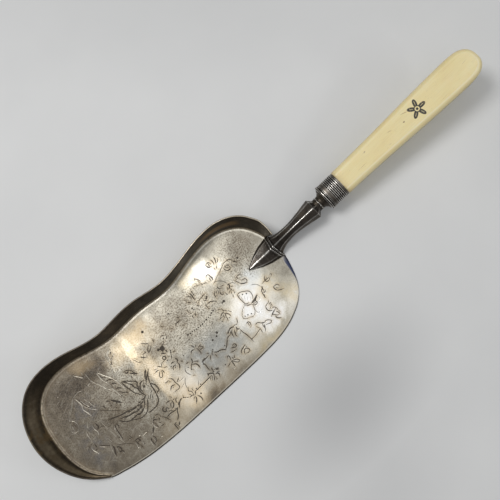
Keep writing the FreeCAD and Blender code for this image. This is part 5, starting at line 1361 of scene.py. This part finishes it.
def build_stem():
    rings, worn, deep = [], [], []

    def put(vals, hollow=0.0, soft=0.22, edge=0.0):
        plane, tall, up, side, low = vals
        loop, w = section_loop(plane, tall, up, side, low, soft)
        rings.append(loop)
        worn.append([max(x, edge) for x in w])
        deep.append([hollow] * len(loop))

    def of(key, shrink=0.0):
        pl, tall, up, side, low = STEM[key]
        k = shrink
        return (PLANES[pl], tall - k, (up[0] - k * 0.7, up[1] - k * 0.7), (side[0] - k, side[1] - k * 0.2), (low[0] - k, low[1]))

    def between(a, b, w):
        return tuple(tuple(np.array(x) * (1 - w) + np.array(y) * w) if isinstance(x, tuple) else x * (1 - w) + y * w for x, y in zip(a, b))

    foot = [of("foot_tip"), of("foot_kink"), of("foot_mid"), of("foot_end")]
    for j in range(3):
        for w in np.linspace(0, 1, 7)[(0 if j == 0 else 1):]:
            put(between(foot[j], foot[j + 1], w), 0.25 * smooth(w, 0.6, 1.0) if j == 2 else 0.0, edge=0.35 if w in (0.0, 1.0) and j < 2 else 0.0)
    for a, b in (("band_a0", "band_a1"), ("band_b0", "band_b1")):
        put(of(a, 0.22), 0.9)
        put(between(of(a, 0.07), of(b, 0.07), 0.05), 0.2, edge=0.9)
        put(between(of(a), of(b), 0.22), 0.0, edge=1.0)
        put(between(of(a), of(b), 0.5), 0.0)
        put(between(of(a), of(b), 0.78), 0.0, edge=1.0)
        put(between(of(a, 0.07), of(b, 0.07), 0.95), 0.2, edge=0.9)
        put(of(b, 0.22), 0.9)
        if a == "band_a0":
            put(of("groove_0"), 1.0)
            put(between(of("groove_0", 0.08), of("groove_1", 0.08), 0.5), 1.0)
            put(of("groove_1"), 1.0)
    keys = ["shank_%d" % i for i in range(7)]
    rows = []
    for k in keys:
        pl, tall, up, side, low = STEM[k]
        rows.append([*PLANES[pl], tall, *up, *side, *low])
    rows = np.array(rows)
    knots = chords(rows[:, :2])
    at = np.concatenate([np.linspace(knots[i], knots[i + 1], 9)[(0 if i == 0 else 1):] for i in range(6)])
    for i, v in enumerate(cubic(knots, rows, at)):
        put((tuple(v[:3]), v[3], tuple(v[4:6]), tuple(v[6:8]), tuple(v[8:10])), 0.8 * (1 - smooth(at[i], 0.0, 1.2)))
    put(between(of("shank_6", 0.10), of("shoulder"), 0.06), 0.0, edge=1.0)
    for w in (0.25, 0.5, 0.75, 0.93):
        put(between(of("shank_6"), of("shoulder"), w), 0.0)
    put(of("shoulder", 0.04), 0.25)
    m = len(rings[0])
    last = np.array(rings[-1])
    mid = last.mean(0)
    rel = last - mid
    ang = np.arctan2(rel @ AZ, rel @ AY)
    d = np.array([r[0] for r in NECK])
    ab = np.array([r[1:] for r in NECK])
    fine_d = []
    for i in range(len(d) - 1):
        fine_d += list(np.linspace(d[i], d[i + 1], 5)[:-1])
    fine_d.append(d[-1])
    for dd in fine_d[1:]:
        a = np.interp(dd, d, ab[:, 0])
        b = np.interp(dd, d, ab[:, 1])
        c = SEAT + AX * dd
        # the ring's points keep the direction of the section's own points
        k = 1 / np.sqrt((np.cos(ang) / a) ** 2 + (np.sin(ang) / b) ** 2)
        rings.append([c + AY * kk * math.cos(t) + AZ * kk * math.sin(t) for kk, t in zip(k, ang)])
        bead = math.exp(-((dd + 4.1) / 0.28) ** 2)
        worn.append([max(bead, float(smooth(dd, -0.5, -0.1)))] * m)
        deep.append([0.75 * float(math.exp(-((dd + 3.35) / 0.35) ** 2) + math.exp(-((dd + 4.95) / 0.35) ** 2))] * m)
    for dist, hw, hh in ((0.02, 2.2, 1.7), (0.3, 2.2, 1.7), (49.7, 1.5, 1.2), (50.0, 1.35, 1.05)):
        c = SEAT + AX * dist
        k = 1 / np.maximum(np.abs(np.cos(ang)) / hw, np.abs(np.sin(ang)) / hh)
        rings.append([c + AY * kk * math.cos(t) + AZ * kk * math.sin(t) for kk, t in zip(k, ang)])
        worn.append([0.0] * m)
        deep.append([0.3] * m)
    verts = [q for ring in rings for q in ring]
    # nothing dips under the sheet's top
    verts = [np.array([q[0], q[1], max(q[2], 1.0)]) for q in verts]
    edge = [x for row in worn for x in row]
    hollow = [x for row in deep for x in row]
    faces = skin(len(rings), m)
    for base, flip in ((0, False), ((len(rings) - 1) * m, True)):
        mid = np.mean(verts[base:base + m], axis=0)
        idx = len(verts)
        verts.append(mid); edge.append(0.3); hollow.append(0.2)
        for i in range(m):
            a, b = base + i, base + (i + 1) % m
            faces.append((b, a, idx) if not flip else (a, b, idx))
    ob = piece("stem_casting", np.array(verts), faces, "stem", stem_material(), attrs={"edge": edge, "hollow": hollow})
    tidy(ob)
    return ob


def outward(ob):
    """Every face turned outward."""
    bm = bmesh.new()
    bm.from_mesh(ob.data)
    bmesh.ops.recalc_face_normals(bm, faces=bm.faces)
    bm.to_mesh(ob.data)
    bm.free()


def tidy(ob):
    """Faces turned outward, and broad faces kept flat against their narrow bevels."""
    outward(ob)
    w = ob.modifiers.new("even_shading", "WEIGHTED_NORMAL")
    w.mode = "FACE_AREA"
    w.weight = 80


# ---------------------------------------------------------------- ferrule
def ferrule_material():
    p, t, body, fine, low, scr, pits = silver_cast("ferrule_silver_reeded", 0.10, 0.66)
    p.set(Base_Color=body, Roughness=p.add(p.blend(t, 0.27, 0.46), p.mul(p.sub(fine, 0.5), 0.14)),
          Metallic=p.blend(p.step(t, 0.6, 1.0), 1.0, 0.85), IOR=1.45)
    p.set(Normal=p.bump(p.add(p.mul(fine, 0.5), p.mul(scr, 0.5)), 0.25, 0.00005, p.bump(low, 0.35, 0.0001)))
    return p.m


def build_ferrule():
    a0, b0 = 6.95, 4.9
    prof = [(0.0, -2.3, 0.2, 0.3), (0.0, -1.2, 0.2, 0.1), (0.0, 0.2, 0.4, 0.0)]

    def bump_ring(u0, u1, lo, hi, steps=8):
        for k in range(steps + 1):
            w = k / steps
            e = math.sin(math.pi * w)
            prof.append((u0 + (u1 - u0) * w, lo + (hi - lo) * e, 0.95 * e ** 4, 1.5 * (1 - e) ** 0.7))
    bump_ring(0.03, 1.30, 0.55, 0.98)
    prof.append((1.40, 0.44, 0.0, 1.0))
    bump_ring(1.50, 2.15, 0.52, 0.76, 6)
    prof.append((2.22, 0.46, 0.0, 1.0))
    prof += [(2.30, 0.52, 0.3, 0.3), (2.42, 0.56, 0.6, 0.0), (3.0, 0.56, 0.0, 0.0), (3.8, 0.56, 0.0, 0.0), (4.43, 0.56, 0.6, 0.0), (4.55, 0.53, 0.3, 0.3), (4.66, 0.43, 0.0, 1.0)]
    u = 4.75
    for _ in range(6):
        bump_ring(u, u + 1.04, 0.42, 0.76, 8)
        u += 1.04
    prof += [(u + 0.06, 0.44, 0.0, 1.0), (u + 0.14, 0.50, 0.7, 0.1), (11.6, 0.52, 0.0, 0.0), (12.16, 0.52, 0.6, 0.0), (12.28, 0.46, 0.8, 0.0), (12.3, 0.36, 0.4, 0.2),
             (12.3, 0.02, 0.0, 0.6), (6.0, 0.02, 0.0, 0.5), (0.8, 0.02, 0.0, 0.5), (0.8, -2.3, 0.0, 0.4)]
    prof = [q for i, q in enumerate(prof) if i == 0 or math.hypot(q[0] - prof[i - 1][0], q[1] - prof[i - 1][1]) > 0.004]
    n = 180
    verts, edge, hollow = [], [], []
    for uu, vv, e, h in prof:
        for k in range(n):
            t = 2 * math.pi * k / n
            y, z = a0 * math.cos(t), b0 * math.sin(t)
            nn = np.array([math.cos(t) / a0, math.sin(t) / b0])
            nn /= np.linalg.norm(nn)
            # rolled by hand: the reeds waver a hair round the oval
            wav = 0.018 * math.sin(3 * t + uu * 2.1) + 0.012 * math.sin(7 * t + uu * 5.0) if 0.2 < uu < 12.1 and vv > 0.1 else 0.0
            y += nn[0] * (vv + wav * 0.6); z += nn[1] * (vv + wav * 0.6)
            verts.append(SEAT + AX * (uu + wav) + AY * y + AZ * z)
            edge.append(e); hollow.append(h)
    m = len(prof)
    faces = skin(m, n) + [((m - 1) * n + i, (m - 1) * n + (i + 1) % n, (i + 1) % n, i) for i in range(n)]
    ob = piece("ferrule_band", np.array(verts), faces, "ferrule", ferrule_material(), attrs={"edge": edge, "hollow": hollow})
    tidy(ob)
    return ob


# ---------------------------------------------------------------- bone handle
def bone_material():
    p = Paint("bone_ivory_coloured")
    # in the handle's own axes: X from the ferrule's lower end toward the butt
    loc = p.mapped(p.mm, tuple(SEAT + SHIFT), (0, -TILT, 0), (1, 1, 1))
    s = p.t.nodes.new("ShaderNodeSeparateXYZ")
    p.put(s.inputs[0], loc)
    u, v, w = s.outputs
    cloud = p.noise(p.mapped(loc, (3, 8, 1), (0, 0, 0), (3.2, 1, 1)), 0.11, 4.0, 0.55)
    fibre = p.noise(p.mapped(loc, (0, 0, 0), (0, 0, 0.02), (26, 0.62, 0.62)), 1.0, 3.0, 0.6, 0.3)
    hairy = p.noise(p.mapped(loc, (5, 1, 9), (0, 0, -0.015), (12, 0.20, 0.20)), 1.0, 2.0, 0.5)
    pores = p.step(p.noise(p.mapped(loc, (9, 4, 2), (0, 0, 0), (2.4, 0.22, 0.22)), 1.0, 2.0, 0.5), 0.675, 0.74)
    base = p.ramp(p.add(p.mul(cloud, 0.75), p.mul(fibre, 0.25)),
                  [(0.25, (0.935, 0.840, 0.545)), (0.45, (0.920, 0.810, 0.475)), (0.60, (0.890, 0.760, 0.405)), (0.80, (0.810, 0.650, 0.315))])
    base = p.mix(p.mul(p.step(hairy, 0.54, 0.70), 0.16), base, (0.60, 0.46, 0.28))
    base = p.mix(p.mul(pores, 0.34), base, (0.36, 0.25, 0.14))
    # browner at the ferrule's joint; painted shade on the rounded sides, a painted highlight line along them, stronger
    # on the right, and a painted dark line along the whole outline
    joint = p.step(p.add(u, p.mul(cloud, 5.0)), 20.0, 13.0)
    base = p.mix(p.mul(joint, 0.45), base, (0.48, 0.34, 0.18))
    side = p.step(p.attr("side"), 0.25, 1.0)
    base = p.mix(p.mul(side, 0.30), base, (0.60, 0.46, 0.22))
    base = p.mix(p.mul(p.band(p.attr("side"), 0.10, 0.22, 0.30, 0.46), p.step(v, 2.0, -2.0, 0.20, 0.55)), base, (0.98, 0.90, 0.66))
    base = p.mix(p.mul(p.step(p.attr("side"), 0.90, 1.0), 0.55), base, (0.30, 0.22, 0.11))
    # drying cracks running with the grain
    wand = p.noise(p.mapped(loc, (0, 0, 0), (0, 0, 0), (5, 1, 1)), 0.5, 3.0, 0.6)
    lines = None
    for v0, u0, u1, wide, slope in ((4.6, 60.0, 66.5, 0.34, -0.35), (2.3, 48.4, 52.6, 0.34, -0.30), (-2.2, 24.0, 31.0, 0.12, 0.01),
                                    (-5.6, 80.0, 88.0, 0.12, 0.0), (1.4, 102.0, 107.0, 0.12, 0.03)):
        off = p.math("ABSOLUTE", p.sub(p.add(v, p.mul(p.sub(wand, 0.5), 2.2)), p.add(p.mul(p.sub(u, u0), slope), v0)))
        run = p.mul(p.step(off, wide, wide * 0.35), p.band(u, u0, u0 + 2.5, u1 - 3.5, u1))
        lines = run if lines is None else p.most(lines, run)
    crack = p.mul(lines, p.step(w, -1.0, 0.5))
    base = p.mix(p.mul(crack, 0.62), base, (0.42, 0.24, 0.09))
    flat = p.vec("MULTIPLY", loc, (1.0, 1.0, 0.0))
    top = p.step(w, 0.0, 1.0)
    base = p.mix(p.mul(p.mul(p.spot(flat, 93.6, 0.7, 9.0, 5.0, 10, 0.9), top), 0.14), base, (0.86, 0.72, 0.46))
    base = p.mix(p.mul(p.mul(p.spot(flat, 59.5, 0.1, 0.8, 0.6, 0, 0.6), top), 0.75), base, (0.25, 0.14, 0.08))
    base = p.mix(p.mul(p.mul(p.spot(flat, 33.0, 3.0, 1.0, 0.5, 20, 0.6), top), 0.5), base, (0.34, 0.22, 0.12))
    # a small plain rosette, rubbed thin in places
    du, dv = p.sub(u, 69.5), p.sub(v, 0.4)
    rad = p.math("SQRT", p.add(p.mul(du, du), p.mul(dv, dv)))
    ang = p.math("ARCTAN2", dv, du)
    petal = p.add(3.75, p.mul(p.math("COSINE", p.mul(ang, 5.0)), 1.85))
    bloom = p.mul(p.step(p.sub(rad, petal), 0.15, -0.15), p.step(rad, 1.25, 1.50))
    rib = p.step(p.math("ABSOLUTE", p.math("SINE", p.mul(ang, 2.5))), 0.13, 0.05)
    bloom = p.mul(bloom, p.sub(1.0, p.mul(p.mul(rib, p.mul(p.step(rad, 2.0, 2.5), p.step(rad, 4.6, 4.0))), 0.85)))
    bloom = p.most(bloom, p.step(rad, 0.85, 0.60))
    mark = p.mul(p.mul(bloom, top), p.step(p.noise(loc, 1.6, 3.0, 0.7), 0.28, 0.38))
    base = p.mix(p.mul(mark, 0.97), base, (0.022, 0.020, 0.022))
    p.set(Base_Color=base, Roughness=p.add(p.blend(p.step(cloud, 0.3, 0.7), 0.26, 0.36), p.mul(p.most(pores, crack), 0.25)))
    p.set(IOR=1.54, Specular_IOR_Level=0.5)
    p.b.inputs["Subsurface Weight"].default_value = 0.12
    p.b.inputs["Subsurface Radius"].default_value = (0.9, 0.6, 0.35)
    p.b.inputs["Subsurface Scale"].default_value = 0.0016
    n1 = p.bump(p.add(p.mul(fibre, 0.7), p.mul(hairy, 0.3)), 0.20, 0.00008)
    n2 = p.bump(pores, -0.35, 0.00005, n1)
    p.set(Normal=p.bump(p.add(crack, p.mul(mark, 0.2)), -0.7, 0.0002, n2))
    return p.m


def build_handle():
    r = 3.7
    k = chords(HANDLE)
    n = 240
    # closer points round the butt
    at = np.interp(np.linspace(0, 1, n), [0, 0.28, 0.72, 1], [0, k[5], k[-6], k[-1]])
    line = cubic(k, HANDLE, at)
    d = np.gradient(line, axis=0)
    d /= np.linalg.norm(d, axis=1)[:, None]
    out = np.stack([-d[:, 1], d[:, 0]], 1)
    if out[0, 1] < 0:
        out = -out
    # at the ferrule the bar is cut square
    blend = smooth(line[:, 0], 12.3, 16.0)[:, None]
    out = out * blend + (1 - blend) * np.stack([0 * line[:, 0], np.sign(line[:, 1])], 1)
    out /= np.linalg.norm(out, axis=1)[:, None]

    def half_thick(x):
        return 5.4 + (6.0 - 5.4) * (x - 11.3) / (114.4 - 11.3)

    verts, side = [], []
    steps = 9
    rows = []
    angles = [math.pi / 2 * (1 - j / steps) for j in range(steps + 1)] + [-math.pi / 2 * j / steps for j in range(1, steps + 1)]
    for a in angles:
        pos = line - out * (r * (1 - math.cos(a)))
        row = []
        for q in pos:
            h = half_thick(q[0])
            z = (h - r) * (1 if a > 1e-9 else (-1 if a < -1e-9 else 0)) + r * math.sin(a)
            row.append(len(verts))
            verts.append(SEAT + AX * q[0] + AY * q[1] + AZ * z)
            side.append(math.cos(a))
        rows.append(row)
    # the straight part of the side between the two rounded edges
    faces = []
    for j in range(len(rows) - 1):
        for i in range(n - 1):
            faces.append((rows[j][i], rows[j][i + 1], rows[j + 1][i + 1], rows[j + 1][i]))
    # flat faces: strips from one side to the other
    lanes = 14
    half = n // 2

    def lid(row, up):
        cols = []
        for i in range(half):
            a, b = row[i], row[n - 1 - i]
            pa, pb = np.array(verts[a]), np.array(verts[b])
            line_ids = [a]
            for c in range(1, lanes):
                w = c / lanes
                q = pa * (1 - w) + pb * w
                line_ids.append(len(verts))
                verts.append(q)
                side.append(0.0)
            line_ids.append(b)
            cols.append(line_ids)
        for i in range(half - 1):
            for c in range(lanes):
                f = (cols[i][c], cols[i][c + 1], cols[i + 1][c + 1], cols[i + 1][c])
                faces.append(f if up > 0 else tuple(reversed(f)))
        return cols
    top_cols, low_cols = lid(rows[0], 1), lid(rows[-1], -1)
    # butt: the innermost chord on each flat face is closed by the outline's middle edge
    for cols, row, up in ((top_cols, rows[0], 1), (low_cols, rows[-1], -1)):
        inner = cols[-1]
        i0, i1 = half - 1, n - half
        rim = [row[i] for i in range(i0, i1 + 1)]
        if len(rim) > 2 or len(inner) > 2:
            poly = inner + rim[1:-1][::-1]
            if len(poly) >= 3:
                faces.append(tuple(poly) if up < 0 else tuple(reversed(poly)))
    # square end at the ferrule, then the oval spigot with its bore
    loop = [c for c in top_cols[0]]
    loop += [rows[j][n - 1] for j in range(1, len(rows) - 1)]
    loop += list(reversed(low_cols[0]))
    loop += [rows[j][0] for j in range(len(rows) - 2, 0, -1)]
    centre = SEAT + AX * 12.3
    rel = np.array([verts[i] for i in loop]) - centre
    ang = np.arctan2(rel @ AZ, rel @ AY)
    prev = loop
    m = len(loop)
    for dist, a, b in ((12.3, 6.9, 4.85), (1.0, 6.9, 4.85), (0.85, 6.75, 4.7), (0.85, 3.1, 3.1), (51.9, 3.1, 3.1), (52.0, 3.0, 3.0)):
        c = SEAT + AX * dist
        kk = 1 / np.sqrt((np.cos(ang) / a) ** 2 + (np.sin(ang) / b) ** 2)
        ids = []
        for rr, t in zip(kk, ang):
            ids.append(len(verts))
            verts.append(c + AY * rr * math.cos(t) + AZ * rr * math.sin(t))
            side.append(0.5)
        faces.extend((prev[i], prev[(i + 1) % m], ids[(i + 1) % m], ids[i]) for i in range(m))
        prev = ids
    mid = len(verts)
    verts.append(SEAT + AX * 52.0)
    side.append(0.5)
    faces.extend((prev[i], prev[(i + 1) % m], mid) for i in range(m))
    ob = piece("bone_bar", np.array(verts), faces, "handle", bone_material(), attrs={"side": side})
    tidy(ob)
    return ob


def cement_material():
    p = Paint("cement_resin_brown")
    a = p.noise(p.mm, 0.8, 4.0, 0.6)
    g = p.noise(p.mm, 5.0, 2.0, 0.7)
    p.set(Base_Color=p.ramp(a, [(0.3, (0.20, 0.10, 0.05)), (0.55, (0.31, 0.17, 0.09)), (0.75, (0.42, 0.27, 0.15))]),
          Roughness=p.blend(g, 0.55, 0.85), Normal=p.bump(g, 0.4, 0.0001))
    return p.m


# ---------------------------------------------------------------- floor, light, camera
def floor_material():
    p = Paint("floor_paper_pale")
    a = p.noise(p.mm, 0.012, 4.0, 0.5)
    g = p.noise(p.mm, 1.6, 3.0, 0.6)
    # painted shadows: soft darker patches on the floor, the largest beyond the pan's lip
    shade = p.most(p.spot(p.mm, -17, -88, 84, 52, 8, 1.0), p.mul(p.spot(p.mm, -60, -150, 120, 45, 20, 1.0), 0.35))
    shade = p.most(shade, p.mul(p.spot(p.mm, 40, 210, 260, 110, -45, 1.0), 0.35))
    tone = p.ramp(a, [(0.3, (0.715, 0.725, 0.732)), (0.7, (0.760, 0.770, 0.776))])
    p.set(Base_Color=p.mix(p.mul(shade, 0.50), tone, (0.34, 0.345, 0.355)), Roughness=p.blend(g, 0.75, 0.9), Specular_IOR_Level=0.2, Normal=p.bump(g, 0.10, 0.00008))
    return p.m


def stage_and_light():
    me = bpy.data.meshes.new("floor")
    s = 4.0
    me.from_pydata([(-s, -s, 0), (s, -s, 0), (s, s, 0), (-s, s, 0)], [], [(0, 1, 2, 3)])
    floor = bpy.data.objects.new("floor", me)
    bpy.context.scene.collection.objects.link(floor)
    me.materials.append(floor_material())

    world = bpy.data.worlds.new("studio")
    bpy.context.scene.world = world
    world.use_nodes = True
    t = world.node_tree
    t.nodes.clear()
    out = t.nodes.new("ShaderNodeOutputWorld")
    bg = t.nodes.new("ShaderNodeBackground")
    bg.inputs["Color"].default_value = (1.0, 0.995, 0.985, 1)
    t.links.new(bg.outputs[0], out.inputs[0])
    tc = t.nodes.new("ShaderNodeTexCoord")
    dot = t.nodes.new("ShaderNodeVectorMath")
    dot.operation = "DOT_PRODUCT"
    c = Vector(SKY_AXIS).normalized()
    dot.inputs[1].default_value = c
    t.links.new(tc.outputs["Generated"], dot.inputs[0])
    mr = t.nodes.new("ShaderNodeMapRange")
    mr.interpolation_type = "SMOOTHSTEP"
    t.links.new(dot.outputs["Value"], mr.inputs["Value"])
    mr.inputs["From Min"].default_value = math.cos(math.radians(SKY_OUT))
    mr.inputs["From Max"].default_value = math.cos(math.radians(SKY_IN))
    mr.inputs["To Min"].default_value = SKY_LOW
    mr.inputs["To Max"].default_value = SKY_HIGH
    t.links.new(mr.outputs[0], bg.inputs["Strength"])

    for name, place, size, watts, colour in LIGHTS:
        data = bpy.data.lights.new(name, "AREA")
        data.shape = "RECTANGLE"
        data.size, data.size_y = size
        data.energy = watts
        data.color = colour
        ob = bpy.data.objects.new(name, data)
        ob.location = place
        ob.rotation_euler = (Vector((-0.03, 0, 0)) - Vector(place)).to_track_quat("-Z", "Y").to_euler()
        bpy.context.scene.collection.objects.link(ob)

    cam = bpy.data.cameras.new("camera")
    cam.sensor_width = 36.0
    cam.sensor_fit = "HORIZONTAL"
    cam.lens = 44.64
    cam.clip_start, cam.clip_end = 0.01, 20.0
    ob = bpy.data.objects.new("camera", cam)
    right, up = Vector((0.73271976, -0.67969461, -0.03371929)), Vector((0.67960552, 0.72824258, 0.08831243))
    fwd = Vector((0.03546966, 0.08762408, -0.99552192))
    m = Matrix((right, up, -fwd)).transposed().to_4x4()
    m.translation = Vector((-0.013395, -0.021392, 0.35839))
    ob.matrix_world = m
    bpy.context.scene.collection.objects.link(ob)
    bpy.context.scene.camera = ob
    bpy.context.scene.view_settings.view_transform = "Standard"


SKY_AXIS, SKY_IN, SKY_OUT, SKY_LOW, SKY_HIGH = (0.08, -0.02, 1.0), 22.0, 58.0, 0.135, 0.72
LIGHTS = [
    ("key_softbox", (-0.16, 0.34, 0.72), (0.26, 0.26), 2.6, (1.0, 0.99, 0.975)),
    ("edge_strip", (0.55, -0.62, 0.46), (0.42, 0.08), 0.9, (0.97, 0.985, 1.0)),
]


# ---------------------------------------------------------------- make everything
build_plate()
build_wall()
build_stem()
build_ferrule()
build_handle()
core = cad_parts["tang_cement"]
core.data.materials.clear()
core.data.materials.append(cement_material())
stage_and_light()
